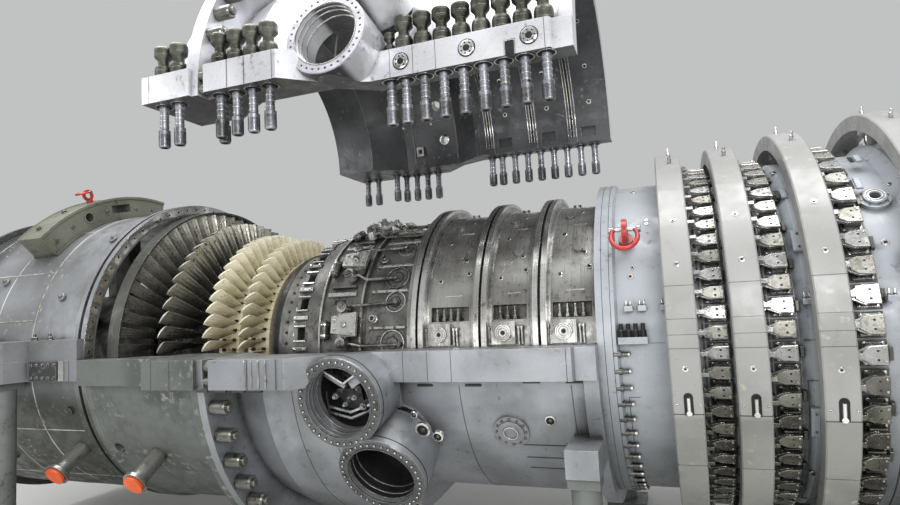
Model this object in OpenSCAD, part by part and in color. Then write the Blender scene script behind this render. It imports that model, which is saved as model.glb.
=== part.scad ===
// Heavy-duty gas turbine, opened for assembly: the upper middle casing hangs above the machine.
// The shaft runs along X, with the compressor inlet at +X and the exhaust at -X. Millimetres.

/* [Machine] */

// Height of the shaft centre line above the ground
axis_z = 2500; // [2500:50:2800]
// How far the upper middle casing is lifted above its seat
lift = 2700; // [2600:20:2900]
// Length of the exhaust casing, from its end flange to the open rim
exhaust_len = 2970; // [2700:10:3200]
// Length of the turbine casing
turbine_len = 1980; // [1950:10:2010]
// Length of the middle casing
middle_len = 3840; // [3800:10:3880]
// Length of the compressor casing
compressor_len = 3080; // [3060:10:3160]
// Length of the inlet casing
inlet_len = 1230; // [1100:10:1400]

/* [Exhaust end] */

// Outer radius of the exhaust casing
exhaust_r = 2000; // [1960:5:2040]
// Wall of the exhaust casing
exhaust_wall = 70; // [60:5:90]
// Radius of the bearing housing inside the exhaust
exhaust_hub_r = 820; // [760:10:880]
// Number of struts that hold the bearing housing
exhaust_struts_n = 6; // [5:1:8]

/* [Turbine rotor] */

// Blades in each of the turbine rows
blades_n = 60; // [48:1:64]
// Radius of the platforms that the blades stand on
platform_r = 1130; // [1110:5:1150]
// Radius of the rotor drum
drum_r = 1030; // [1000:5:1060]

/* [Middle casing] */

// Outer diameter of a port flange
port_d = 880; // [860:10:890]
// Bore of a port
port_bore_d = 680; // [640:10:690]
// Angle of the first port from the horizontal
port1_angle = 11; // [11:0.5:12]
// Angle of the second port from the horizontal
port2_angle = 30.5; // [30:0.5:32]
// Thickness of the horizontal flanges
flange_t = 290; // [260:10:320]
// Radius of the arch rings of the vane carriers
arch_r = 1600; // [1580:5:1610]

/* [Compressor casing] */

// Radial gap between the casing and a guide-vane ring
ring_gap = 150; // [130:5:170]
// Radial thickness of a guide-vane ring
ring_t = 155; // [130:5:170]
// Width of a guide-vane ring
ring_w = 240; // [220:5:250]

/* [Supports] */

// Diameter of the support columns
column_d = 260; // [240:10:270]
// Side of the square base plates
foot_w = 520; // [460:10:540]
// Thickness of the base plates
foot_t = 60; // [40:5:80]

/* [Hidden] */

$fn = 96;
fit = 0.3; // clearance between seated pieces
run = 6; // running clearance at the rotor
journal_gap = 0.9; // clearance of the shaft in its two bearings
journal_r_rear = 330;
journal_r_front = 360;

x_end = -(exhaust_len + turbine_len + middle_len + compressor_len + inlet_len) / 2;
x_rim = x_end + exhaust_len;
x_joint = x_rim + turbine_len;
x_front = x_joint + middle_len;
x_inlet = x_front + compressor_len;
x_tip = x_inlet + inlet_len;
x_upper = x_joint - 630; // left end of the lifted casing

rim_r = exhaust_r + 75; // flange at the open rim of the exhaust casing
case_r = arch_r + 40; // compressor casing under the first guide-vane ring

// Turbine rows, from the burners to the exhaust: place, tip radius, chord, root and tip stagger
row_x = [for (d = [1730, 1290, 805, 295]) x_rim + d];
row_tip = [for (d = [580, 480, 275, 85]) exhaust_r - d];
row_chord = [230, 240, 235, 190];
row_twist_root = [20, 18, 14, 12];
row_twist_tip = [38, 45, 52, 55];
platform_w = 300;

// Guide-vane rings: distance from the front joint, and growth of the casing radius at each
ring_x = [for (d = [715, 1212, 1790, 2565]) x_front + d];
zone_r = [for (g = [0, 12, 82, 172]) case_r + g];
lever_n = [66, 58, 50, 44];
lever_dx = 285;
case_wall = 150;

// Half widths of the horizontal flange seen from above
half_w_exhaust = rim_r + 85;
half_w_turbine = rim_r + 395;
half_w_lug = rim_r + 325;
half_w_port = rim_r + 20;
half_w_front = arch_r + 340;
flange_t_exhaust = flange_t - 50;

arch_x = [for (d = [1860, 1190, 600]) x_front - d];
arch_w = 130;
carrier_r = arch_r - 110;
carrier_in = arch_r - 360;
seal_x0 = row_x[0] + 240;
hub_x0 = seal_x0 + 610;
hub_r = arch_r - 210;

// The vertical joint flange between the turbine and middle casings
joint_r = rim_r + 355;
joint_t = 80;
port_face_r = joint_r - 140;

column_x_rear = x_rim - 1150;
column_x_front = x_front - 150;
column_y_rear = half_w_lug - 200;
column_y_front = arch_r + 300;
reach = 2 * joint_r; // longer than any radius of the machine

// Helpers: shapes are drawn round the shaft, then raised to its height

module on_axis() {
    translate([0, 0, axis_z]) rotate([0, 90, 0]) children();
}

// A full revolve of a profile of [radius, x] points
module revolve(points) {
    on_axis() rotate_extrude() polygon(points);
}

// The half of a revolve above the shaft, or below it
module half_revolve(points, upper) {
    on_axis() rotate([0, 0, upper ? 90 : -90]) rotate_extrude(angle = 180) polygon(points);
}

// Stands a shape on the circle of radius r at angle a, counted from the near side upwards
module radial(a, x, r) {
    translate([x, 0, axis_z]) rotate([90 - a, 0, 0]) translate([0, 0, r]) children();
}

function ring_profile(r0, r1, x0, x1) = [[r0, x0], [r1, x0], [r1, x1], [r0, x1]];

module tube(r0, r1, x0, x1) {
    revolve(ring_profile(r0, r1, x0, x1));
}

// A flat flange plate at the split plane, from its half outline of [x, half width] points
module split_plate(outline, z0, t) {
    n = len(outline);
    mirrored = [for (i = [n - 1:-1:0]) [outline[i][0], -outline[i][1]]];
    translate([0, 0, z0]) linear_extrude(t) polygon(concat(outline, mirrored));
}

// Half a casing: a solid half revolve and its flange plate, bored out by the inner profile
module casing_half(outer, inner, plan, t, upper) {
    difference() {
        union() {
            half_revolve(outer, upper);
            split_plate(plan, upper ? axis_z : axis_z - t, t);
        }
        revolve(inner);
    }
}

// A streamlined strut section: a round nose, straight flanks and a slim tail
module strut_outline(chord, thick) {
    union() {
        translate([chord / 2 - thick / 2, 0]) circle(d = thick, $fn = 48);
        polygon([
            [chord / 2 - thick / 2, thick / 2], [-chord * 0.1, thick * 0.46], [-chord / 2, thick * 0.08],
            [-chord / 2, -thick * 0.08], [-chord * 0.1, -thick * 0.46], [chord / 2 - thick / 2, -thick / 2]
        ]);
    }
}

// Cuts a strut's ends to the round hub inside it and the round casing outside it
module strut_ends(r0, r1) {
    rotate([0, 90, 0]) cylinder(r = r0, h = r1, center = true, $fn = 360);
    rotate([0, 90, 0]) difference() {
        cylinder(r = r1 + 300, h = r1, center = true);
        cylinder(r = r1, h = r1 + 2, center = true, $fn = 360);
    }
}

// Exhaust end

module exhaust_half(upper) {
    outer = [
        [0, x_end], [exhaust_r + 90, x_end], [exhaust_r + 90, x_end + 80],
        [exhaust_r, x_end + 80], [exhaust_r, x_rim - 190], [exhaust_r + 30, x_rim - 170],
        [rim_r, x_rim - 170], [rim_r, x_rim - 110], [rim_r - 45, x_rim - 110],
        [rim_r - 45, x_rim - 60], [rim_r, x_rim - 60], [rim_r, x_rim], [0, x_rim]
    ];
    inner = [
        [0, x_end - 1], [exhaust_r - exhaust_wall, x_end - 1],
        [exhaust_r - exhaust_wall, x_rim + 1], [0, x_rim + 1]
    ];
    plan = [
        [x_end + 80, half_w_exhaust - 60], [x_end + 140, half_w_exhaust],
        [column_x_rear - 340, half_w_exhaust], [column_x_rear - 270, half_w_lug],
        [column_x_rear + 270, half_w_lug], [column_x_rear + 340, half_w_exhaust],
        [x_rim, half_w_exhaust]
    ];
    difference() {
        casing_half(outer, inner, plan, flange_t_exhaust, upper);
        end_bolt_holes(x_end + 40, exhaust_r + 50, 84);
    }
}

// Bolt circle of an end flange: holes of length h, centred on x
end_holes_n = 12;
end_hole_r = 16;
module end_bolt_holes(x, r, h) {
    for (k = [0:end_holes_n - 1])
        radial((k + 0.5) * 360 / end_holes_n, x, r) rotate([0, 90, 0])
            cylinder(r = end_hole_r, h = h, center = true, $fn = 24);
}

module exhaust_casing_lower() {
    color([0.33, 0.34, 0.35]) exhaust_half(false);
}

module exhaust_casing_upper() {
    color([0.37, 0.38, 0.39]) exhaust_half(true);
}

hub_x_end = x_end + 350;
hub_x_row = x_rim - 60;
strut_x = x_end + 1250;
module exhaust_hub() {
    color([0.36, 0.36, 0.35]) revolve([
        [journal_r_rear + journal_gap, hub_x_end + 740], [journal_r_rear + journal_gap, hub_x_end + 360],
        [journal_r_rear + run, hub_x_end + 350], [journal_r_rear + run, hub_x_end],
        [exhaust_hub_r - 200, hub_x_end], [exhaust_hub_r, hub_x_end + 400],
        [exhaust_hub_r, strut_x + 360],
        [exhaust_hub_r + 240, hub_x_row - 300], [exhaust_hub_r + 240, hub_x_row],
        [exhaust_hub_r + 180, hub_x_row], [exhaust_hub_r + 180, hub_x_row - 280],
        [journal_r_rear + run, hub_x_row - 1100], [journal_r_rear + run, hub_x_end + 750]
    ]);
}

module exhaust_struts() {
    color([0.34, 0.34, 0.33])
        for (k = [0:exhaust_struts_n - 1])
            radial(360 * (k + 0.5) / exhaust_struts_n, strut_x, 0) difference() {
                linear_extrude(exhaust_r) strut_outline(620, 190);
                strut_ends(exhaust_hub_r + fit, exhaust_r - exhaust_wall - fit);
            }
}

// The curved box beam on the shoulder of the exhaust casing, with its slots
saddle_x = x_rim - 1420;
saddle_w = 420;
saddle_h = 330;

// A block that follows the exhaust casing from elevation a0 to a1, counted from the near side
module shoulder_block(a0, a1, x, w, h) {
    on_axis() rotate([0, 0, 270 - a1]) rotate_extrude(angle = a1 - a0)
        polygon(ring_profile(exhaust_r + fit, exhaust_r + h, x - w / 2, x + w / 2));
}

module lifting_saddle() {
    color([0.38, 0.39, 0.33]) {
        difference() {
            shoulder_block(42, 98, saddle_x, saddle_w, saddle_h);
            radial(62, saddle_x, exhaust_r + saddle_h * 0.5)
                rotate([0, 90, 0]) cylinder(d = 130, h = saddle_w + 2, center = true, $fn = 40);
            radial(77, saddle_x, exhaust_r + saddle_h * 0.5)
                cube([saddle_w + 2, 330, 120], center = true);
        }
        shoulder_block(80, 89, saddle_x - 900, 330, 170);
    }
}

// A bow shackle with its boss, standing on the surface below it
module lifting_eye(size) {
    cylinder(d = size * 0.7, h = size * 0.35, $fn = 40);
    translate([0, 0, size * 0.85]) rotate([0, 90, 0]) difference() {
        cylinder(d = size * 1.25, h = size * 0.24, center = true, $fn = 48);
        cylinder(d = size * 0.72, h = size, center = true, $fn = 48);
    }
}

module lifting_eyes() {
    color([0.75, 0.2, 0.2]) {
        radial(69, saddle_x, exhaust_r + saddle_h + fit) lifting_eye(130);
        radial(34, ring_x[0] - 420, case_r + fit) lifting_eye(190);
        radial(146, ring_x[0] - 420, case_r + fit) lifting_eye(190);
    }
}

// Turbine casing: the lower half stays, the short upper part hangs with the middle casing

turbine_r = exhaust_r + 40;
turbine_out = [
    [0, x_rim], [rim_r, x_rim], [rim_r, x_rim + 60], [turbine_r, x_rim + 90],
    [turbine_r, x_upper - 20], [turbine_r - 60, x_joint - 300], [turbine_r - 60, x_joint - joint_t],
    [joint_r, x_joint - joint_t], [joint_r, x_joint], [0, x_joint]
];
turbine_in = [
    [0, x_rim - 1], [row_tip[3] + 60, x_rim - 1],
    [row_tip[3] + 60, row_x[3] + 220], [row_tip[2] + 80, row_x[3] + 330],
    [row_tip[2] + 80, row_x[2] + 200], [row_tip[1] + 80, row_x[2] + 330],
    [row_tip[1] + 80, x_joint + 1], [0, x_joint + 1]
];
turbine_plan = [
    [x_rim, half_w_exhaust], [x_upper - 160, half_w_exhaust + 40], [x_upper - 40, half_w_turbine],
    [x_joint, half_w_turbine]
];

module turbine_casing_lower() {
    color([0.34, 0.36, 0.34]) difference() {
        casing_half(turbine_out, turbine_in, turbine_plan, flange_t, false);
        radial(-32, x_rim + 170, exhaust_r) cylinder(d = 150, h = 700, center = true, $fn = 40);
    }
}

module turbine_casing_upper() {
    color([0.72, 0.72, 0.74]) translate([0, 0, lift]) difference() {
        casing_half(turbine_out, turbine_in, turbine_plan, flange_t, true);
        translate([x_rim - 1, -reach, axis_z - 1]) cube([x_upper - x_rim + 1, 2 * reach, reach]);
        stud_holes(stud_x_left, stud_y_left);
    }
}

// Clearance holes for the studs of one group, in both flanges of an upper casing
stud_hole_clear = 4;
module stud_holes(places, y) {
    for (x = places)
        for (s = [-1, 1])
            translate([x, s * y, axis_z - 1])
                cylinder(d = stud_d + 2 * stud_hole_clear, h = flange_t + 2, $fn = 32);
}

// Middle casing: the shell with its round ports, and inner rails over the arches

port_x = [x_front - 2340, x_front - 2060];
port_angle = [port1_angle, port2_angle];
belt_r = joint_r - 350;
middle_out = [
    [0, x_joint], [joint_r, x_joint], [joint_r, x_joint + joint_t],
    [belt_r - 130, x_joint + joint_t], [belt_r, x_joint + 500], [belt_r, arch_x[0] - 500],
    [arch_r + 115, arch_x[0] - 110], [arch_r + 115, x_front - 150], [arch_r + 220, x_front - 130],
    [arch_r + 220, x_front], [0, x_front]
];
rail = 30;
middle_in = [
    [0, x_joint - 1], [row_tip[1] + 80, x_joint - 1], [belt_r - 150, x_joint + 500],
    [belt_r - 150, arch_x[0] - 560], [arch_r + 40, arch_x[0] - 170], [arch_r + 40, arch_x[0] - 100],
    [arch_r + fit, arch_x[0] - 100], [arch_r + fit, arch_x[0] + arch_w],
    [arch_r + rail, arch_x[0] + arch_w], [arch_r + rail, arch_x[1]],
    [arch_r + fit, arch_x[1]], [arch_r + fit, arch_x[1] + arch_w],
    [arch_r + rail, arch_x[1] + arch_w], [arch_r + rail, arch_x[2]],
    [arch_r + fit, arch_x[2]], [arch_r + fit, arch_x[2] + arch_w],
    [arch_r + rail, arch_x[2] + arch_w], [arch_r + rail, x_front + 1], [0, x_front + 1]
];
notch_w = 190; // notch in the flange for the two bolts at its end
notch_d = 190;
middle_plan = [
    [x_joint, joint_r - 20], [x_joint + joint_t, joint_r - 20],
    [x_joint + joint_t, half_w_turbine - notch_d], [x_joint + notch_w, half_w_turbine - notch_d],
    [x_joint + notch_w, half_w_turbine], [port_x[0] - 440, half_w_turbine - 10],
    [port_x[0] - 60, half_w_port], [port_x[0] + 320, half_w_front], [x_front - 200, half_w_front],
    [x_front - 180, half_w_front - 60], [x_front, half_w_front - 60]
];

// The lower half has its ports on both sides, the upper half on the near side alone
module port_places(sides) {
    for (i = [0:1])
        for (side = sides)
            radial(side == 0 ? port_angle[i] : 180 - port_angle[i], port_x[i], 0) children();
}

// Drawn as the upper half: the lower half is its mirror image at the split plane
module middle_half(port_sides) {
    difference() {
        union() {
            casing_half(middle_out, middle_in, middle_plan, flange_t, true);
            difference() {
                port_places(port_sides)
                    translate([0, 0, belt_r - 240]) cylinder(d = port_d, h = port_face_r - belt_r + 240);
                revolve(middle_in);
                translate([x_joint, -reach, axis_z - reach]) cube([middle_len, 2 * reach, reach]);
            }
        }
        port_places(port_sides) translate([0, 0, arch_r / 2]) cylinder(d = port_bore_d, h = port_face_r);
        pockets();
    }
}

// Square pockets in the wall over the flange, one beside each arch
pocket_w = 210;
pocket_h = 150;
pocket_depth = 50;
module pockets() {
    for (x = arch_x)
        for (s = [0, 1])
            mirror([0, s, 0]) translate([x + arch_w + 60, arch_r - 40, axis_z + 70])
                cube([pocket_w, 40 + pocket_depth, pocket_h]);
}

module mirror_split() {
    translate([0, 0, axis_z]) mirror([0, 0, 1]) translate([0, 0, -axis_z]) children();
}

// Support lugs of the lower half, over the front columns, and a round cover on each side
lug_drop = 1080;
cover_x = x_front - 880;
module middle_casing_lower() {
    color([0.47, 0.48, 0.48]) union() {
        mirror_split() middle_half([0, 1]);
        for (s = [0, 1])
            mirror([0, s, 0]) {
                translate([column_x_front - 140, arch_r - 150, axis_z - lug_drop])
                    cube([280, column_y_front - arch_r + 320, 240]);
                radial(-28, cover_x, arch_r + 60) {
                    cylinder(d = 340, h = 80, $fn = 48);
                    cylinder(d = 250, h = 95, $fn = 48);
                }
            }
    }
}

vent_d = 120; // vent holes in the far side of the lifted casing
module middle_casing_upper() {
    color([0.78, 0.78, 0.80]) translate([0, 0, lift]) difference() {
        middle_half([0]);
        stud_holes(stud_x_mid, stud_y_left);
        stud_holes(stud_x_right, stud_y_right);
        stud_holes([stud_x_notch], stud_y_notch);
        for (v = [[230, 167.5], [280, 151]])
            radial(v[1], port_x[0] - 80 - v[0], arch_r) cylinder(d = vent_d, h = joint_r - arch_r, $fn = 40);
    }
}

// Studs in the lifted flange: a tall two-part nut above it, a waisted shank and a thread below

stud_d = 104;
stud_x_left = [x_upper + 160, x_upper + 370];
stud_x_mid = [for (k = [0:3]) x_joint + 290 + 200 * k];
first_stud_shift = 40; // the first stud of the right group stands clear of the port beside it
stud_x_right = [for (k = [0:8]) arch_x[0] - 20 + 203 * k + (k == 0 ? first_stud_shift : 0)];
stud_y_left = half_w_turbine - 150;
stud_y_right = half_w_front - 110;
stud_x_notch = x_joint + joint_t + 105;
stud_y_notch = half_w_turbine - notch_d - 130;
small_nut = 0.6;
stud_shank = 305;
stud_thread = 150;

// k scales the nut: those at the notch and beside the ports are smaller
module stud(k) {
    top = lift + axis_z + flange_t;
    low = -flange_t - stud_shank;
    end = low - stud_thread;
    translate([0, 0, top]) rotate_extrude($fn = 40) polygon([
        [0, end], [stud_d / 2 - 4, end], [stud_d / 2 + 6, end + 12], [stud_d / 2 + 6, low],
        [stud_d / 2 + 8, low + 4], [stud_d / 2 + 8, low + 34], [stud_d / 2 - 8, low + 44],
        [stud_d / 2 - 8, -flange_t - 70], [stud_d / 2, -flange_t - 50], [stud_d / 2, fit],
        [93 * k, fit], [93 * k, 105 * k], [86 * k, 132 * k], [66 * k, 150 * k], [58 * k, 156 * k],
        [58 * k, 205 * k], [80 * k, 232 * k], [95 * k, 248 * k], [95 * k, 336 * k], [86 * k, 350 * k],
        [0, 350 * k]
    ]);
}

module flange_studs() {
    color([0.5, 0.5, 0.47])
        for (s = [-1, 1]) {
            for (x = concat(stud_x_left, stud_x_mid)) translate([x, s * stud_y_left, 0]) stud(1);
            for (x = stud_x_right)
                translate([x, s * stud_y_right, 0]) stud(x == stud_x_right[0] ? small_nut : 1);
            translate([stud_x_notch, s * stud_y_notch, 0]) stud(small_nut);
        }
}

// Round nuts of the vertical joint: a row round the casing and two at each end of the flange
joint_nut_r = joint_r - 95;
module joint_nut(d, h) {
    rotate([0, 90, 0]) rotate_extrude($fn = 32) polygon([
        [0, 0], [d * 0.5, 0], [d * 0.5, h - 14], [d * 0.42, h], [d * 0.28, h], [d * 0.28, h + 28],
        [d * 0.23, h + 35], [0, h + 35]
    ]);
}

module joint_nuts(first, n) {
    x = x_joint + joint_t + fit;
    for (k = [0:n - 1])
        radial(first + (180 - 2 * first) * k / (n - 1), x, joint_nut_r) joint_nut(150, 190);
    for (s = [-1, 1])
        for (z = [75, 215])
            translate([x, s * (half_w_turbine - 105), axis_z + z]) joint_nut(112, 68);
}

module joint_nuts_lower() {
    color([0.5, 0.5, 0.48]) mirror_split() joint_nuts(12, 22);
}

module joint_nuts_upper() {
    color([0.5, 0.5, 0.48]) translate([0, 0, lift]) joint_nuts(18, 20);
}

// Burner section, between the turbine rows and the vane carriers

module seal_ring() {
    color([0.12, 0.12, 0.13]) revolve([
        [drum_r + 20, seal_x0], [platform_r + 20, seal_x0], [platform_r + 55, seal_x0 + 30],
        [platform_r + 55, seal_x0 + 90], [drum_r + 20, seal_x0 + 90]
    ]);
}

windows_n = 24;
module burner_hub() {
    x0 = seal_x0 + 90 + fit;
    color([0.42, 0.42, 0.41]) difference() {
        revolve([
            [drum_r + 20, x0], [platform_r + 50, x0], [platform_r + 90, x0 + 270],
            [platform_r + 180, x0 + 300], [platform_r + 230, x0 + 520], [hub_r, hub_x0 + 180],
            [hub_r, hub_x0 + 700], [hub_r - 20, hub_x0 + 700], [hub_r - 20, hub_x0 + 760],
            [hub_r + 10, hub_x0 + 760], [hub_r + 10, arch_x[0] - 60 - fit],
            [carrier_in, arch_x[0] - 60 - fit], [carrier_in, hub_x0 + 400], [drum_r + 20, hub_x0 + 200]
        ]);
        for (k = [0:windows_n - 1])
            radial(7.5 + 360 * k / windows_n, x0 + 410, platform_r + 60)
                translate([-55, -70, 0]) cube([120, 140, 400]);
    }
}

brackets_n = 12;
bracket_x = hub_x0 + 560;
module burner_bracket() {
    // a trapezoid plate on two lugs with a round boss at each side
    translate([-90, -130, 0]) cube([180, 260, 90]);
    translate([0, 0, 90]) linear_extrude(40)
        polygon([[-150, -90], [150, -130], [150, 130], [-150, 90]]);
    for (s = [-1, 1])
        translate([-40, s * 190, 0]) {
            cylinder(d = 110, h = 120, $fn = 24);
            translate([0, -s * 90, 45]) cube([80, 140, 60], center = true);
        }
}

module burner_brackets() {
    color([0.7, 0.7, 0.68])
        for (k = [0:brackets_n - 1])
            radial(10 + 360 * k / brackets_n, bracket_x, hub_r + fit + 25)
                union() {
                    burner_bracket();
                    translate([0, 0, -25]) cylinder(d = 160, h = 30, $fn = 24);
                }
}

// Vane carriers: drums with an arch ring of two layers at their left end

carrier_end = [arch_x[1] - 30, arch_x[2] - 30, x_front - fit];
function carrier_profile(i) = [
    [carrier_in, arch_x[i] - (i == 0 ? 60 : 30)], [arch_r - 40, arch_x[i] - (i == 0 ? 60 : 30)],
    [arch_r - 40, arch_x[i]], [arch_r, arch_x[i]], [arch_r, arch_x[i] + 50],
    [arch_r - 45, arch_x[i] + 50], [arch_r - 45, arch_x[i] + 80], [arch_r, arch_x[i] + 80],
    [arch_r, arch_x[i] + arch_w], [carrier_r, arch_x[i] + arch_w],
    [carrier_r - 20, carrier_end[i]], [carrier_in, carrier_end[i]]
];

module carrier_upper(i) {
    w = carrier_end[i] - arch_x[i] - arch_w;
    xm = arch_x[i] + arch_w + w / 2;
    difference() {
        union() {
            half_revolve(carrier_profile(i), true);
            for (a = [38, 60, 84, 106, 138])
                radial(a, xm + (a % 4 - 1) * 60, carrier_r - 60) cylinder(d = 90, h = 80, $fn = 24);
            for (a = [4.6, 175.4])
                radial(a, arch_x[i] + arch_w + 150, carrier_r - 60) {
                    translate([-120, -110, 0]) cube([240, 220, 92]);
                    cylinder(d = 160, h = 104, $fn = 40);
                }
        }
        for (a = [12.6, 167.4])
            radial(a, xm, carrier_r - 90) translate([-w * 0.4, -75, 0]) cube([w * 0.8, 150, 400]);
    }
}

module vane_carrier_a() {
    color([0.48, 0.47, 0.45]) carrier_upper(0);
}

module vane_carrier_b() {
    color([0.48, 0.46, 0.43]) carrier_upper(1);
}

module vane_carrier_c() {
    color([0.5, 0.48, 0.45]) carrier_upper(2);
}

module vane_carriers_lower() {
    color([0.47, 0.46, 0.44])
        for (i = [0:2]) half_revolve([for (p = carrier_profile(i)) [p[0], p[1]]], false);
}

// Compressor casing in steps, one landing under each guide-vane row

step_x = [ring_x[1] - 125, ring_x[2] - 190, ring_x[3] - 120];
compressor_out = [
    [0, x_front], [case_r + 45, x_front], [case_r + 45, x_front + 165], [zone_r[0], x_front + 190],
    [zone_r[0], step_x[0]], [zone_r[1], step_x[0] + 12], [zone_r[1], step_x[1]],
    [zone_r[2], step_x[1] + 70], [zone_r[2], step_x[2]], [zone_r[3], step_x[2] + 80],
    [zone_r[3], x_inlet - 90], [zone_r[3] + 70, x_inlet - 70], [zone_r[3] + 70, x_inlet],
    [0, x_inlet]
];
compressor_in = [
    [0, x_front - 1], [case_r - case_wall, x_front - 1], [case_r - case_wall, step_x[1]],
    [zone_r[2] - case_wall, step_x[2]], [zone_r[3] - case_wall, x_inlet - 300],
    [zone_r[3] - case_wall, x_inlet + 1], [0, x_inlet + 1]
];

module compressor_half(upper) {
    difference() {
        half_revolve(compressor_out, upper);
        revolve(compressor_in);
    }
}

module compressor_casing_lower() {
    color([0.57, 0.6, 0.64]) compressor_half(false);
}

pad_x = ring_x[3] - 265;
ledge_h = 60;
module compressor_casing_upper() {
    color([0.6, 0.63, 0.67]) difference() {
        union() {
            compressor_half(true);
            for (a = [40, 140])
                radial(a, pad_x, zone_r[2] - 60) {
                    cylinder(d = 235, h = 100, $fn = 48);
                    cylinder(d = 170, h = 125, $fn = 48);
                }
            for (s = [0, 1])
                mirror([0, s, 0]) translate([x_front + 184, case_r - 40, axis_z])
                    cube([250, 120, ledge_h]);
        }
        for (a = [40, 140])
            radial(a, pad_x, zone_r[2]) cylinder(d = 80, h = 200, $fn = 32);
    }
}

// Upright studs of the compressor split line, on the ledges of the upper half
module split_line_studs() {
    color([0.2, 0.22, 0.22])
        for (s = [-1, 1])
            for (k = [0:3])
                translate([x_front + 215 + 62 * k, s * (case_r + 48), axis_z + ledge_h + fit]) {
                    cylinder(d = 36, h = 120, $fn = 24);
                    cylinder(d = 54, h = 60, $fn = 24);
                }
}

// Guide-vane rings on short posts, and the lever rows beside them

ring_posts_n = 12;
module guide_vane_ring(i) {
    r0 = zone_r[i] + ring_gap;
    x = ring_x[i];
    color([0.84, 0.83, 0.81]) {
        revolve([
            [r0, x - ring_w / 2], [r0 + ring_t - 12, x - ring_w / 2], [r0 + ring_t, x - ring_w / 2 + 12],
            [r0 + ring_t, x + ring_w / 2 - 12], [r0 + ring_t - 12, x + ring_w / 2], [r0, x + ring_w / 2]
        ]);
        for (k = [0:ring_posts_n - 1])
            radial(15 + 360 * k / ring_posts_n, x, zone_r[i] + fit)
                cylinder(d = 70, h = ring_gap + 30, $fn = 24);
    }
}

module guide_vane_ring_1() {
    guide_vane_ring(0);
}

module guide_vane_ring_2() {
    guide_vane_ring(1);
}

module guide_vane_ring_3() {
    guide_vane_ring(2);
}

module guide_vane_ring_4() {
    guide_vane_ring(3);
}

// One lever: a base plate, the vane stem, the trapezoid lever plate and its link to the ring
module lever(i) {
    w = 2 * PI * zone_r[i] / lever_n[i];
    reach = lever_dx - ring_w / 2 - fit;
    translate([-75, -w * 0.4, 0]) cube([150, w * 0.8, 26]);
    cylinder(d = w * 0.42, h = 92, $fn = 24);
    translate([0, 0, 86]) linear_extrude(26)
        polygon([
            [70, -w * 0.3], [70, w * 0.3], [-40, w * 0.36],
            [-reach + 30, w * 0.14], [-reach + 30, -w * 0.14], [-40, -w * 0.36]
        ]);
    translate([-reach, -w * 0.1, 112 - 26]) cube([60, w * 0.2, ring_gap - 60]);
}

module lever_row(i) {
    color([0.66, 0.66, 0.66])
        for (k = [0:lever_n[i] - 1])
            radial(360 * (k + 0.5) / lever_n[i], ring_x[i] + lever_dx, zone_r[i] + fit) lever(i);
}

module lever_row_1() {
    lever_row(0);
}

module lever_row_2() {
    lever_row(1);
}

module lever_row_3() {
    lever_row(2);
}

module lever_row_4() {
    lever_row(3);
}

// Inlet end

inlet_in_r = zone_r[3] - case_wall;
inlet_hub_r = 700;
module inlet_casing() {
    color([0.56, 0.59, 0.63]) difference() {
        revolve([
            [inlet_in_r, x_inlet], [zone_r[3] + 70, x_inlet], [zone_r[3] + 70, x_inlet + 70],
            [zone_r[3] - 40, x_inlet + 90], [zone_r[3] - 40, x_tip - 400],
            [zone_r[3] + 110, x_tip - 130], [zone_r[3] + 110, x_tip], [inlet_in_r + 180, x_tip],
            [inlet_in_r + 30, x_tip - 260], [inlet_in_r, x_tip - 500]
        ]);
        end_bolt_holes(x_tip - 50, zone_r[3] + 60, 102);
    }
}

module inlet_hub() {
    color([0.5, 0.53, 0.57]) revolve([
        [journal_r_front + journal_gap, x_inlet + 700], [journal_r_front + journal_gap, x_inlet + 360],
        [journal_r_front + run, x_inlet + 350], [journal_r_front + run, x_inlet + 60],
        [inlet_hub_r, x_inlet + 60], [inlet_hub_r, x_tip - 520], [inlet_hub_r - 130, x_tip - 260],
        [journal_r_front + run, x_tip - 260], [journal_r_front + run, x_inlet + 710]
    ]);
}

inlet_struts_n = 8;
module inlet_struts() {
    color([0.52, 0.55, 0.59])
        for (k = [0:inlet_struts_n - 1])
            radial(360 * (k + 0.5) / inlet_struts_n, x_inlet + 420, 0) difference() {
                linear_extrude(inlet_in_r + 40) strut_outline(420, 110);
                strut_ends(inlet_hub_r + fit, inlet_in_r - fit);
            }
}

// Supports: round columns on base plates, under the lugs of the exhaust and middle casings

module support(x, y, top) {
    translate([x, y, 0]) {
        translate([-foot_w / 2, -foot_w / 2, 0]) cube([foot_w, foot_w, foot_t]);
        cylinder(d = column_d, h = top - 89, $fn = 48);
        translate([-135, -140, top - 90]) cube([270, 280, 90 - fit]);
    }
}

module supports() {
    color([0.45, 0.47, 0.46])
        for (s = [-1, 1]) {
            support(column_x_rear, s * column_y_rear, axis_z - flange_t_exhaust);
            support(column_x_front, s * column_y_front, axis_z - lug_drop);
        }
}

// Pipe stubs on the lower turbine and exhaust casings, with orange caps
stub_x = [x_rim - 520, x_rim + 740];
stub_r = [exhaust_r, turbine_r];
module pipe_stubs() {
    color([0.5, 0.51, 0.5])
        for (i = [0:1])
            radial(-34, stub_x[i], stub_r[i] + fit) {
                difference() {
                    cylinder(d = 200, h = 420, $fn = 40);
                    translate([0, 0, 20]) cylinder(d = 160, h = 402, $fn = 40);
                }
                translate([0, 0, 380]) difference() {
                    cylinder(d = 290, h = 40, $fn = 40);
                    translate([0, 0, -1]) cylinder(d = 190, h = 42, $fn = 40);
                }
            }
}

module pipe_caps() {
    color([0.95, 0.4, 0.15])
        for (i = [0:1])
            radial(-34, stub_x[i], stub_r[i] + 420 + 2 * fit) cylinder(d = 230, h = 36, $fn = 40);
}

// Rotor

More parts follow.
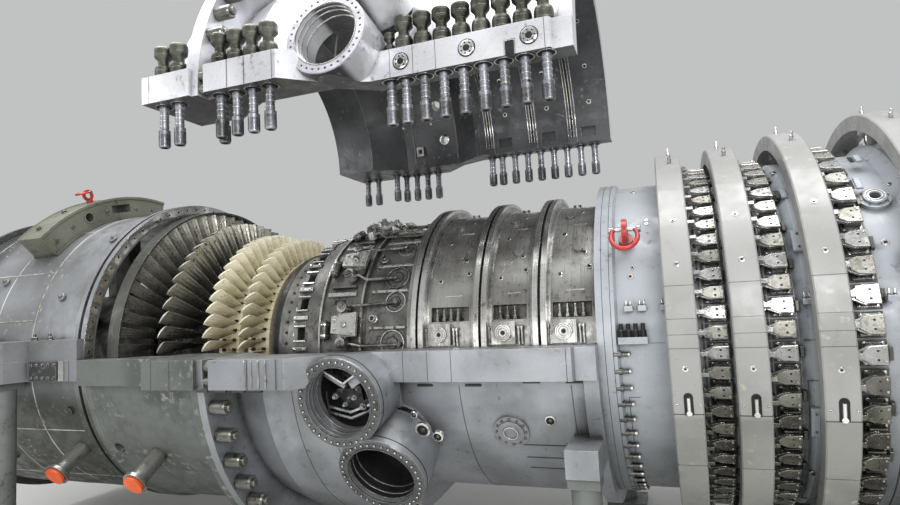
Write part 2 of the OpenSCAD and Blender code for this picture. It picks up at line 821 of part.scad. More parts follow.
module rotor_shaft() {
    color([0.4, 0.4, 0.4]) revolve([
        [0, x_end + 250], [journal_r_rear, x_end + 250], [journal_r_rear, hub_x_row - 900],
        [700, hub_x_row - 250],
        [drum_r, row_x[3] - 160], [drum_r, seal_x0 + 420], [900, seal_x0 + 540],
        [900, arch_x[0] - 300], [drum_r, arch_x[0]], [drum_r, fan_x - 130], [fan_seat_r, fan_x - 130],
        [fan_seat_r, fan_x + 90], [560, fan_x + 110], [journal_r_front, x_inlet + 40],
        [journal_r_front, x_tip - 130], [0, x_tip - 130]
    ]);
}

// A blade is a lofted solid: an eight-point section at three heights, turned and tapered
section = [
    [-0.5, 0.02], [-0.28, 0.13], [0.02, 0.17], [0.3, 0.1],
    [0.5, -0.02], [0.28, 0.02], [0.0, 0.05], [-0.3, 0.04]
];
levels = [0, 0.45, 1];
function blade_ring(r, chord, turn) = [
    for (p = section)
        let (x = p[0] * chord, y = p[1] * chord)
            [x * cos(turn) - y * sin(turn), x * sin(turn) + y * cos(turn), r]
];
function blade_points(r0, r1, chord, t0, t1) = [
    for (s = levels) each blade_ring(r0 + (r1 - r0) * s, chord * (1 - 0.18 * s), t0 + (t1 - t0) * s)
];
// Both sides of a blade are split along the same diagonal, so that it keeps its thickness
side_faces = [
    for (l = [0:1]) for (i = [0:7])
        let (a = l * 8 + i, b = l * 8 + (i + 1) % 8)
            each i < 4 ? [[a, b, a + 8], [b, b + 8, a + 8]] : [[a, b, b + 8], [a, b + 8, a + 8]]
];
cap_strip = [[0, 1, 7], [1, 6, 7], [1, 2, 6], [2, 5, 6], [2, 3, 5], [3, 4, 5]];
bottom_cap = [for (t = cap_strip) [t[0], t[2], t[1]]];
top_cap = [for (t = cap_strip) [t[0] + 16, t[1] + 16, t[2] + 16]];

module blade(r0, r1, chord, t0, t1) {
    polyhedron(
        points = blade_points(r0, r1, chord, t0, t1),
        faces = concat(side_faces, bottom_cap, top_cap)
    );
}

module turbine_row(i) {
    x = row_x[i];
    tube(drum_r + fit, platform_r, x - platform_w / 2, x + platform_w / 2);
    for (k = [0:blades_n - 1])
        radial(360 * (k + 0.5) / blades_n, x, 0)
            blade(platform_r - 8, row_tip[i], row_chord[i], row_twist_root[i], row_twist_tip[i]);
}

module turbine_row_1() {
    color([0.88, 0.84, 0.68]) turbine_row(0);
}

module turbine_row_2() {
    color([0.86, 0.82, 0.66]) turbine_row(1);
}

module turbine_row_3() {
    color([0.3, 0.3, 0.29]) turbine_row(2);
}

module turbine_row_4() {
    color([0.28, 0.29, 0.28]) turbine_row(3);
}

// The slim ring on the tips of row 4
module row_4_shroud() {
    color([0.6, 0.6, 0.57]) tube(row_tip[3] + 2, row_tip[3] + 24, row_x[3] - 85, row_x[3] + 85);
}

fan_n = 28;
fan_x = x_inlet - 120;
fan_seat_r = drum_r - 210;
module compressor_row_1() {
    color([0.5, 0.51, 0.52]) {
        tube(fan_seat_r + fit, drum_r - 30, fan_x - 110, fan_x + 90);
        for (k = [0:fan_n - 1])
            radial(360 * (k + 0.5) / fan_n, fan_x - 10, 0)
                blade(drum_r - 38, inlet_in_r - 15, 190, 40, 60);
    }
}

module coupling_flange() {
    color([0.55, 0.55, 0.55]) difference() {
        revolve([[0, x_tip - 130], [460, x_tip - 130], [460, x_tip - 40], [0, x_tip - 40]]);
        for (k = [0:11])
            radial(30 * k, x_tip, 400) rotate([0, 90, 0])
                cylinder(r = 20, h = 600, center = true, $fn = 24);
    }
}

exhaust_casing_lower();
exhaust_casing_upper();
exhaust_hub();
exhaust_struts();
lifting_saddle();
lifting_eyes();
turbine_casing_lower();
turbine_casing_upper();
middle_casing_lower();
middle_casing_upper();
flange_studs();
joint_nuts_lower();
joint_nuts_upper();
seal_ring();
burner_hub();
burner_brackets();
vane_carrier_a();
vane_carrier_b();
vane_carrier_c();
vane_carriers_lower();
compressor_casing_lower();
compressor_casing_upper();
split_line_studs();
guide_vane_ring_1();
guide_vane_ring_2();
guide_vane_ring_3();
guide_vane_ring_4();
lever_row_1();
lever_row_2();
lever_row_3();
lever_row_4();
inlet_casing();
inlet_hub();
inlet_struts();
supports();
pipe_stubs();
pipe_caps();
rotor_shaft();
turbine_row_1();
turbine_row_2();
turbine_row_3();
turbine_row_4();
row_4_shroud();
compressor_row_1();
coupling_flange();
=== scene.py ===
import math
import random

import bmesh
import bpy
from mathutils import Matrix, Vector


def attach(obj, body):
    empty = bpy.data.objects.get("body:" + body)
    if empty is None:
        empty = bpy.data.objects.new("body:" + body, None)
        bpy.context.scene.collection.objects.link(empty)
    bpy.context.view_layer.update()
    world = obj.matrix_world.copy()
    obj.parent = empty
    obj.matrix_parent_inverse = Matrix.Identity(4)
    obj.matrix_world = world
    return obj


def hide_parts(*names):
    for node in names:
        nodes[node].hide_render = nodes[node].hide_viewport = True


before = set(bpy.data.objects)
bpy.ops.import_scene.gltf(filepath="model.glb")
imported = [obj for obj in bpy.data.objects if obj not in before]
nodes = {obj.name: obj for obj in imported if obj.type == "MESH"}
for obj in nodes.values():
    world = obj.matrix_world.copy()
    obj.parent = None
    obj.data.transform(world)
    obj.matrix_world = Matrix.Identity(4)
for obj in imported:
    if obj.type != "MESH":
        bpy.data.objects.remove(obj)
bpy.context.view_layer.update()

# Main sizes, as in the CAD source

AXIS = 2.5
LIFT = 2.7
X_RIM, X_FRONT, X_INLET = -3.58, 2.24, 5.32
EXHAUST_R, RIM_R, BELT_R, HUB_R, CASE_R = 2.0, 2.075, 2.08, 1.39, 1.64
FRONT_R, BURNER_X = 1.71, -1.52
HOLE_BAND_R, COLLAR_R, RIM_BLOCK_R = 1.2, 1.219, 1.325
BRACKET_UP, BOSS_UP = 0.155, 0.146
BURNER_CELLS = 12
FLANGE_T, FLANGE_T_EXHAUST = 0.29, 0.24
HALF_W_TURBINE, HALF_W_FRONT, HALF_W_EXHAUST = 2.47, 1.94, 2.16
PORT_X = (-0.1, 0.18)
PORT_ANGLE = (11, 30.5)
PORT_FACE_R, PORT_R, PORT_BORE_R = 2.29, 0.44, 0.34
ARCH_X = (0.38, 1.05, 1.64)
ARCH_R, ARCH_W, CARRIER_R = 1.6, 0.13, 1.49
RING_X = (2.955, 3.452, 4.03, 4.805)
ZONE_R = (1.64, 1.652, 1.722, 1.812)
RING_GAP, RING_T, RING_W = 0.15, 0.155, 0.24
LEVER_N = (66, 58, 50, 44)
LEVER_DX = 0.285
ROW_X = (-1.85, -2.29, -2.775, -3.285)
PLATFORM_R = 1.13
BLADES_N = 60
STUD_X_LEFT = (-2.07, -1.86)
STUD_X_MID = tuple(-1.31 + 0.2 * k for k in range(4))
STUD_X_RIGHT = tuple(0.36 + 0.203 * k + (0.04 if k == 0 else 0) for k in range(9))
STUD_X_NOTCH, STUD_Y_NOTCH = -1.415, 2.15
STUD_Y_LEFT, STUD_Y_RIGHT = 2.32, 1.83
SMALL_NUT, STUD_TIP, THREAD_PITCH = 0.6, 0.455, 0.0128
PLUG_X, NOTCH_X = (0.561, 1.249, 1.854), 1.666
SEAM_X_RIGHT, SEAM_X_LEFT = (0.439, 0.689, 0.927, 1.995), (-2.13, -1.116, -0.908, -0.577)
VENTS = ((-0.41, 167.5), (-0.46, 151))
COVER_X, PAD_X, SADDLE_X = 1.36, 4.54, -5.0
SPLIT_GROUPS = ((2.53, 1.64), (2.645, 1.64), (2.83, 1.64), (3.905, 1.722), (4.448, 1.812))
CASING_PLUGS = ((2.582, 1.64, 24.2, 0.02), (2.557, 1.64, 21.2, 0.028), (2.722, 1.64, 43.6, 0.018),
                (2.722, 1.64, 41.8, 0.018), (4.492, 1.812, 24.0, 0.03), (4.66, 1.812, 43.0, 0.02),
                (3.9, 1.722, 62.0, 0.03), (2.6, 1.64, 66.0, 0.03), (3.9, 1.722, -42.0, 0.03))
LOWER_BOSSES = ((-20.5, 0.62, BELT_R, 0.055), (-16.2, 0.56, BELT_R, 0.026), (-24.0, 0.72, 2.0, 0.04),
                (-23.1, -1.33, 1.965, 0.07), (-45.0, -1.42, 1.95, 0.07), (-24.0, 1.75, 1.715, 0.04),
                (-52.0, 0.2, BELT_R, 0.06))
EXHAUST_PLUGS = ((22, -4.2), (30, -5.4), (48, -3.95), (16, -5.9), (68, -3.9), (-18, -4.0), (-40, -5.5))
SIDES = (-1, 1)

# Colours as they are seen, and the nodes that make one material


def srgb(r, g, b):
    """A seen colour of 0 to 255, as the linear colour of a shader."""
    return tuple(((c / 255 + 0.055) / 1.055) ** 2.4 if c > 10 else c / 3295 for c in (r, g, b)) + (1.0,)


class Look:
    """One procedural material, built node by node in the object's own coordinates."""

    def __init__(self, name):
        self.material = bpy.data.materials.new(name)
        self.material.use_nodes = True
        self.tree = self.material.node_tree
        self.shader = self.tree.nodes["Principled BSDF"]
        self.place = self.node("ShaderNodeTexCoord").outputs["Object"]

    def feed(self, socket, value):
        if isinstance(value, bpy.types.NodeSocket):
            self.tree.links.new(value, socket)
        else:
            socket.default_value = value

    def node(self, kind, settings=None, **inputs):
        made = self.tree.nodes.new(kind)
        for key, value in (settings or {}).items():
            setattr(made, key, value)
        for key, value in inputs.items():
            self.feed(made.inputs[key], value)
        return made

    def math(self, operation, a, b=0.0):
        made = self.node("ShaderNodeMath", {"operation": operation})
        self.feed(made.inputs[0], a)
        self.feed(made.inputs[1], b)
        return made.outputs[0]

    def mix(self, factor, a, b):
        made = self.node("ShaderNodeMix", {"data_type": "RGBA"})
        self.feed(made.inputs[0], factor)
        self.feed(made.inputs[6], a)
        self.feed(made.inputs[7], b)
        return made.outputs[2]

    def stretched(self, scale):
        return self.node("ShaderNodeMapping", Vector=self.place, Scale=scale).outputs[0]

    def noise(self, scale, detail=3.0, vector=None, rough=0.55):
        made = self.node("ShaderNodeTexNoise", Vector=vector or self.place, Scale=scale, Detail=detail,
                         Roughness=rough)
        return made.outputs["Fac"]

    def ramp(self, value, low, high, to_low=0.0, to_high=1.0):
        made = self.node("ShaderNodeMapRange", {"interpolation_type": "SMOOTHSTEP"})
        for key, number in (("Value", value), ("From Min", low), ("From Max", high),
                            ("To Min", to_low), ("To Max", to_high)):
            self.feed(made.inputs[key], number)
        return made.outputs[0]

    def place_part(self, axis):
        return self.node("ShaderNodeSeparateXYZ", Vector=self.place).outputs[axis]

    def arm(self, lift=0.0):
        """From the shaft, or the lifted centre line, straight out to the surface."""
        height = self.math("SUBTRACT", self.place_part(2), AXIS + lift)
        return self.node("ShaderNodeCombineXYZ", Y=self.place_part(1), Z=height).outputs[0]

    def radius(self, lift=0.0):
        length = self.node("ShaderNodeVectorMath", {"operation": "LENGTH"})
        self.feed(length.inputs[0], self.arm(lift))
        return length.outputs["Value"]

    def turned(self, lift=0.0):
        """Coordinates that are the same all round the shaft: for lathe marks."""
        return self.node("ShaderNodeCombineXYZ", X=self.place_part(0), Y=self.radius(lift)).outputs[0]

    def facing_in(self, lift):
        """A mask for painted shade: 1 on faces that look at the centre line, or down from under the flange,
        and 0 elsewhere.
        """
        normal = self.node("ShaderNodeNewGeometry").outputs["Normal"]
        arm = self.node("ShaderNodeVectorMath", {"operation": "NORMALIZE"})
        self.feed(arm.inputs[0], self.arm(lift))
        dot = self.node("ShaderNodeVectorMath", {"operation": "DOT_PRODUCT"})
        self.feed(dot.inputs[0], arm.outputs[0])
        self.feed(dot.inputs[1], normal)
        inward = self.ramp(dot.outputs["Value"], -0.25, -0.4)
        down = self.ramp(self.node("ShaderNodeSeparateXYZ", Vector=normal).outputs[2], -0.8, -0.9)
        return self.math("MAXIMUM", inward, down)


# The second value is how far the painted shade in corners reaches.
BEVEL, CORNER_SHADE_REACH = 0.004, 0.12
ROUGH_SPREAD, MARKS_SCALE = 0.16, 90.0


def surface(name, base, worn, rough, metallic=0.0, grain=0.3, grain_scale=160.0, patch=1.6,
            stain=None, stain_at=0.62, marks=None, marks_depth=0.25, edge=None, corner_shade=None, coat=0.0,
            inside=None, below=None, tips=None, painted_shade_end=None):
    """A painted, cast or machined metal with patches, stains, worn edges that also carry a painted
    highlight, painted shade in corners, and grain.

    inside paints shade on the lifted casing's inner wall and under its flange; below gives another colour
    under a height, used as painted shade low on the exhaust, compressor, rings and levers and as painted
    light low on the lifted casing; tips gives another colour beyond a radius; the last argument paints
    shade over the exhaust end.
    """
    base, worn, stain, edge, corner_shade = (c and srgb(*c) for c in (base, worn, stain, edge, corner_shade))
    look = Look(name)
    large = look.noise(patch, 5.0)
    medium = look.noise(patch * 9, 4.0)
    blotch = look.ramp(large, 0.35, 0.66)
    colour = look.mix(blotch, base, worn)
    if below:
        height_low, height_high, low_base, low_worn = below
        zone = look.ramp(look.place_part(2), height_high, height_low)
        colour = look.mix(zone, colour, look.mix(blotch, srgb(*low_base), srgb(*low_worn)))
    # Painted shade: a darker colour over the exhaust end, beyond a given x.
    if painted_shade_end:
        x_full_shade, x_no_shade, dark = painted_shade_end
        colour = look.mix(look.ramp(look.place_part(0), x_no_shade, x_full_shade), colour, srgb(*dark))
    if tips:
        r_low, r_high, tip = tips
        colour = look.mix(look.ramp(look.radius(), r_low, r_high), colour, srgb(*tip))
    # Painted shade: faces that look in to the centre line, or down from under the flange, take the darker
    # inside colours.
    if inside:
        colour = look.mix(look.facing_in(LIFT), colour, look.mix(blotch, *(srgb(*c) for c in inside)))
    if stain:
        spots = look.math("MULTIPLY", look.ramp(medium, stain_at - 0.08, stain_at + 0.06),
                          look.ramp(large, 0.42, 0.6))
        colour = look.mix(spots, colour, stain)
    height = look.math("MULTIPLY", look.noise(grain_scale, 2.0), grain)
    gloss = look.noise(patch * 4, 4.0)
    if marks:
        vector = look.turned(LIFT if marks == "lifted" else 0.0)
        if marks == "milled":
            vector = look.stretched((1.0, 6.0, 22.0))
        lines = look.noise(MARKS_SCALE, 2.0, vector)
        height = look.math("ADD", height, look.math("MULTIPLY", lines, marks_depth))
        gloss = look.math("ADD", look.math("MULTIPLY", gloss, 0.5), look.math("MULTIPLY", lines, 0.5))
    smooth_normal = look.node("ShaderNodeBevel", {"samples": 3}, Radius=BEVEL).outputs[0]
    # Worn edges, partly a painted highlight: a lighter colour where the rounded normal turns from the flat
    # one, in patches.
    if edge:
        flat_normal = look.node("ShaderNodeNewGeometry").outputs["Normal"]
        dot = look.node("ShaderNodeVectorMath", {"operation": "DOT_PRODUCT"})
        look.feed(dot.inputs[0], smooth_normal)
        look.feed(dot.inputs[1], flat_normal)
        edge_wear_and_highlight_mask = look.math("MULTIPLY", look.ramp(dot.outputs["Value"], 0.985, 0.90),
                        look.ramp(medium, 0.34, 0.52))
        colour = look.mix(edge_wear_and_highlight_mask, colour, edge)
    # Painted shade in corners and recesses: an occlusion mask darkens the colour there, a little patchy
    # with noise.
    if corner_shade:
        corner = look.node("ShaderNodeAmbientOcclusion", {"samples": 3}, Distance=CORNER_SHADE_REACH).outputs["AO"]
        corner_shade_mask = look.math("MULTIPLY", look.ramp(corner, 0.75, 0.25), look.ramp(medium, 0.3, 0.6, 0.55, 1.0))
        colour = look.mix(corner_shade_mask, colour, corner_shade)
    look.feed(look.shader.inputs["Base Color"], colour)
    look.feed(look.shader.inputs["Roughness"],
              look.ramp(gloss, 0.3, 0.7, rough - ROUGH_SPREAD, rough + ROUGH_SPREAD))
    look.shader.inputs["Metallic"].default_value = metallic
    look.shader.inputs["Coat Weight"].default_value = coat
    bump = look.node("ShaderNodeBump", Height=height, Strength=0.5, Distance=0.002, Normal=smooth_normal)
    look.feed(look.shader.inputs["Normal"], bump.outputs[0])
    return look.material


# Colour of the painted shade in the saddle's corners.
SADDLE_CORNER_SHADE = (38, 36, 32)
# In each material, the colour given for corners is painted shade, and the edge colour is a worn edge that
# also paints a highlight.
MATERIALS = {
    # Painted shade: the exhaust casing is darker and more olive below about 2 m, and darker over its far
    # end past about -5.8 m.
    "exhaust": surface("exhaust_steel", (140, 142, 146), (112, 114, 115), 0.44, 0.5, grain=0.35,
                       grain_scale=120, stain=(160, 160, 155), stain_at=0.66, edge=(176, 175, 168),
                       corner_shade=(48, 46, 42), below=(1.9, 2.3, (84, 87, 80), (70, 73, 66)),
                       painted_shade_end=(-6.05, -5.75, (78, 79, 80))),
    "exhaust_inside": surface("exhaust_inside", (92, 90, 86), (66, 64, 60), 0.55, 0.5, grain=0.3,
                              stain=(120, 104, 84), corner_shade=(30, 29, 27)),
    "turbine_lower": surface("turbine_cast", (112, 116, 113), (90, 94, 90), 0.5, 0.45, grain=0.45,
                             grain_scale=90, stain=(150, 152, 148), edge=(190, 190, 186),
                             corner_shade=(56, 58, 52)),
    "middle_lower": surface("middle_cast", (160, 163, 169), (130, 133, 136), 0.38, 0.5, grain=0.3,
                            grain_scale=110, stain=(92, 92, 90), stain_at=0.68, marks="milled",
                            marks_depth=0.12, edge=(226, 226, 222), corner_shade=(60, 58, 54)),
    # Painted light: below about 6.1 m the lifted casing, its flange included, is coloured near white.
    # Painted shade: its inner wall and the underside of its flange are darker.
    "lifted": surface("lifted_steel", (168, 169, 174), (148, 149, 154), 0.34, 0.45, grain=0.18,
                      below=(6.1, 6.6, (222, 222, 227), (198, 199, 204)),
                      stain=(140, 138, 134), stain_at=0.66, marks="milled", marks_depth=0.2,
                      edge=(250, 250, 250), corner_shade=(70, 68, 66),
                      inside=((100, 101, 104), (70, 71, 74))),
    "port_light": surface("port_ring_light", (216, 214, 222), (196, 194, 204), 0.36, 0.5, grain=0.12,
                          stain=(150, 148, 150), stain_at=0.68, edge=(250, 250, 252)),
    "port_dark": surface("port_ring_dark", (118, 119, 121), (92, 93, 94), 0.36, 0.75, grain=0.25,
                         stain=(62, 60, 56), edge=(206, 206, 204), corner_shade=(40, 39, 37)),
    "saddle": surface("saddle_paint", (120, 122, 108), (96, 97, 86), 0.5, 0.2, grain=0.3,
                      stain=(70, 66, 56), edge=(196, 194, 184), corner_shade=SADDLE_CORNER_SHADE),
    "studs": surface("oiled_studs", (104, 106, 96), (74, 76, 68), 0.32, 0.8, grain=0.2, marks="milled",
                     stain=(52, 50, 42), edge=(190, 190, 180), corner_shade=(32, 31, 28),
                     below=(AXIS + LIFT - 0.02, AXIS + LIFT + 0.02, (178, 180, 188), (120, 122, 128))),
    "nuts": surface("joint_nut_steel", (140, 140, 134), (104, 104, 98), 0.34, 0.8, grain=0.2,
                    stain=(70, 62, 50), edge=(216, 214, 206), corner_shade=(36, 35, 32)),
    "black": surface("black_oxide", (46, 46, 48), (32, 32, 33), 0.42, 0.6, grain=0.25,
                     edge=(150, 148, 144), stain=(70, 66, 60)),
    "hub": surface("burner_hub_steel", (134, 133, 130), (88, 87, 84), 0.4, 0.7, grain=0.35,
                   grain_scale=80, stain=(62, 58, 52), stain_at=0.62, marks="turned",
                   edge=(206, 202, 194), corner_shade=(34, 32, 29), patch=2.6),
    "bracket": surface("bracket_steel", (204, 203, 200), (168, 166, 161), 0.3, 0.75, grain=0.2,
                       stain=(104, 98, 88), stain_at=0.68, edge=(236, 236, 230), corner_shade=(48, 45, 40)),
    "carrier": surface("carrier_steel", (172, 171, 168), (126, 124, 120), 0.34, 0.75, grain=0.3,
                       grain_scale=90, stain=(92, 87, 78), stain_at=0.63, marks="turned",
                       edge=(236, 232, 224), corner_shade=(40, 37, 33), patch=2.4),
    # Painted shade: the compressor casing is darker below about 2.2 m.
    "compressor": surface("compressor_paint", (168, 173, 178), (152, 157, 163), 0.42, 0.1, grain=0.3,
                          grain_scale=200, stain=(116, 119, 122), stain_at=0.66, edge=(196, 198, 198),
                          corner_shade=(70, 73, 76), coat=0.15, below=(1.2, 2.2, (126, 130, 134), (106, 110, 114))),
    # Painted shade: the guide-vane rings are darker below about 1.9 m.
    "ring": surface("ring_paint", (155, 155, 153), (141, 141, 138), 0.42, 0.0, grain=0.16,
                    grain_scale=220, stain=(168, 164, 154), stain_at=0.66, edge=(196, 196, 194),
                    corner_shade=(78, 76, 70), coat=0.2, below=(1.88, 1.94, (136, 136, 132), (118, 118, 114))),
    # Painted reflection and shade: levers below about 1.9 m are coloured dark, as if mirroring a dark
    # floor.
    "lever": surface("lever_steel", (206, 206, 204), (172, 172, 169), 0.26, 0.75, grain=0.15,
                     stain=(110, 107, 100), stain_at=0.66, edge=(250, 250, 246), corner_shade=(30, 29, 27),
                     patch=5.0, below=(1.9, 2.6, (110, 108, 98), (70, 68, 60))),
    # Painted reflection and shade: these covers too are coloured dark below about 1.9 m.
    "lever_beige": surface("lever_cover", (168, 166, 158), (138, 135, 127), 0.32, 0.7, grain=0.15,
                           stain=(86, 82, 72), stain_at=0.64, edge=(240, 236, 226), corner_shade=(28, 27, 24),
                           patch=5.0, below=(1.9, 2.6, (86, 84, 76), (54, 52, 46))),
    "lever_dark": surface("lever_block", (98, 98, 90), (70, 70, 64), 0.4, 0.6, grain=0.25,
                          edge=(190, 188, 180), corner_shade=(24, 23, 21)),
    "bright": surface("bright_pin", (232, 232, 230), (198, 198, 195), 0.2, 0.95, grain=0.1,
                      stain=(150, 146, 138), corner_shade=(60, 58, 54)),
    "bolt": surface("bolt_steel", (126, 126, 122), (88, 88, 84), 0.34, 0.85, grain=0.15,
                    edge=(220, 218, 212), corner_shade=(30, 29, 27)),
    # Painted shade: a near-black colour for holes, sockets, slots, grooves and gaps between parts; the seam
    # lines on the exhaust flange use it too.
    "dark": surface("painted_recess_shade_and_seams", (26, 26, 27), (18, 18, 18), 0.6, 0.2, grain=0.2),
    "seam": surface("seam_line", (70, 70, 70), (50, 50, 50), 0.6, 0.3, grain=0.1),
    "chalk": surface("chalk_weld", (206, 205, 198), (160, 159, 152), 0.7, 0.0, grain=0.8,
                     grain_scale=140, stain=(112, 112, 108), stain_at=0.52),
    "cream": surface("cream_coating", (222, 214, 184), (196, 186, 152), 0.5, 0.0, grain=0.25,
                     grain_scale=260, stain=(168, 152, 112), stain_at=0.62, edge=(246, 242, 226),
                     corner_shade=(80, 70, 48), patch=4.0, tips=(1.28, 1.5, (240, 235, 212))),
    "blade": surface("dark_blade", (112, 111, 106), (76, 75, 70), 0.34, 0.75, grain=0.2,
                     stain=(54, 51, 46), edge=(214, 212, 204), corner_shade=(24, 23, 22), patch=3.0,
                     tips=(1.3, 1.8, (186, 183, 172))),
    "arch": surface("arch_steel", (206, 205, 202), (168, 166, 162), 0.28, 0.9, grain=0.12, marks="turned",
                    marks_depth=0.3, stain=(112, 106, 96), stain_at=0.64, edge=(246, 246, 244),
                    corner_shade=(52, 49, 44)),
    "pipe": surface("pipe_steel", (168, 166, 160), (116, 113, 106), 0.26, 0.9, grain=0.12,
                    stain=(70, 62, 52), corner_shade=(30, 28, 25), patch=6.0),
    "plate_dark": surface("dark_plate", (78, 80, 82), (60, 62, 63), 0.4, 0.5, grain=0.3,
                          stain=(104, 104, 100), edge=(160, 158, 152), corner_shade=(34, 33, 31)),
    "shroud": surface("shroud_steel", (96, 96, 92), (70, 70, 66), 0.4, 0.7, grain=0.15,
                      marks="turned", stain=(60, 56, 48), edge=(190, 188, 180)),
    "shaft": surface("shaft_steel", (150, 150, 148), (112, 111, 108), 0.32, 0.85, grain=0.15,
                     marks="turned", stain=(84, 78, 68), corner_shade=(30, 29, 27)),
    "red": surface("red_paint", (206, 52, 44), (178, 40, 36), 0.4, 0.0, grain=0.3,
                   stain=(96, 40, 34), stain_at=0.6, edge=(150, 130, 122), corner_shade=(70, 22, 18), coat=0.3),
    "orange": surface("orange_cap", (238, 104, 44), (220, 88, 34), 0.45, 0.0, grain=0.1,
                      stain=(170, 74, 34), stain_at=0.68, corner_shade=(96, 40, 18), coat=0.1),
    "stub": surface("stub_steel", (176, 176, 172), (132, 131, 126), 0.36, 0.8, grain=0.25,
                    stain=(96, 84, 68), edge=(226, 224, 218), corner_shade=(44, 42, 38)),
    "support": surface("support_paint", (110, 114, 112), (90, 93, 90), 0.5, 0.1, grain=0.3,
                       stain=(70, 66, 58), edge=(170, 170, 164), corner_shade=(40, 40, 36)),
}

NODE_LOOKS = {
    "exhaust_casing_lower": "exhaust", "exhaust_casing_upper": "exhaust", "exhaust_hub": "exhaust_inside",
    "exhaust_struts": "exhaust_inside", "lifting_saddle": "saddle", "lifting_eyes": "red",
    "turbine_casing_lower": "turbine_lower", "turbine_casing_upper": "lifted",
    "middle_casing_lower": "middle_lower", "middle_casing_upper": "lifted", "flange_studs": "studs",
    "joint_nuts_lower": "nuts", "joint_nuts_upper": "nuts", "seal_ring": "black", "burner_hub": "hub",
    "burner_brackets": "bracket", "vane_carrier_a": "carrier", "vane_carrier_b": "carrier",
    "vane_carrier_c": "carrier", "vane_carriers_lower": "carrier", "compressor_casing_lower": "compressor",
    "compressor_casing_upper": "compressor", "split_line_studs": "black", "guide_vane_ring_1": "ring",
    "guide_vane_ring_2": "ring", "guide_vane_ring_3": "ring", "guide_vane_ring_4": "ring",
    "lever_row_1": "lever", "lever_row_2": "lever", "lever_row_3": "lever", "lever_row_4": "lever",
    "inlet_casing": "compressor", "inlet_hub": "compressor", "inlet_struts": "compressor",
    "supports": "support", "pipe_stubs": "stub", "pipe_caps": "orange", "rotor_shaft": "shaft",
    "turbine_row_1": "cream", "turbine_row_2": "cream", "turbine_row_3": "blade", "turbine_row_4": "blade",
    "row_4_shroud": "shroud", "compressor_row_1": "blade", "coupling_flange": "shaft",
}
for node_name, look_name in NODE_LOOKS.items():
    nodes[node_name].data.materials.clear()
    nodes[node_name].data.materials.append(MATERIALS[look_name])

# Placing and building small solids


def shift(x, y, z):
    return Matrix.Translation((x, y, z))


def spin(degrees, axis):
    return Matrix.Rotation(math.radians(degrees), 4, axis)


def radial(angle, x, r, lift=0.0):
    """Stands on the circle of radius r, local Z outward; the angle runs from the near side upwards."""
    return (shift(x, 0, AXIS + lift) @ spin(90 - angle, "X")
            @ shift(0, 0, r))


def at(x, y, z, facing="up"):
    """A place whose local Z points up, down, along X or to the near or far side."""
    turn = {"up": (0, "X"), "down": (180, "X"), "near": (90, "X"), "far": (-90, "X"), "ahead": (90, "Y"),
            "back": (-90, "Y")}[facing]
    return shift(x, y, z) @ spin(turn[0], turn[1])


def circle(r, n, start=0.0):
    angles = [start + math.tau * k / n for k in range(n)]
    return [(r * math.cos(a), r * math.sin(a)) for a in angles]


def rectangle(w, d):
    return [(-w / 2, -d / 2), (w / 2, -d / 2), (w / 2, d / 2), (-w / 2, d / 2)]


def shrunk(outline, c):
    """A convex outline with every edge moved in by c."""
    made = []
    n = len(outline)
    for k in range(n):
        a, b, d = (Vector(outline[(k + s) % n]) for s in (-1, 0, 1))
        e0, e1 = (b - a).normalized(), (d - b).normalized()
        inward = Vector((-e0.y - e1.y, e0.x + e1.x))
        scale = c / max(0.3, 1 + e0.dot(e1))
        made.append(tuple(b + inward * scale))
    return made


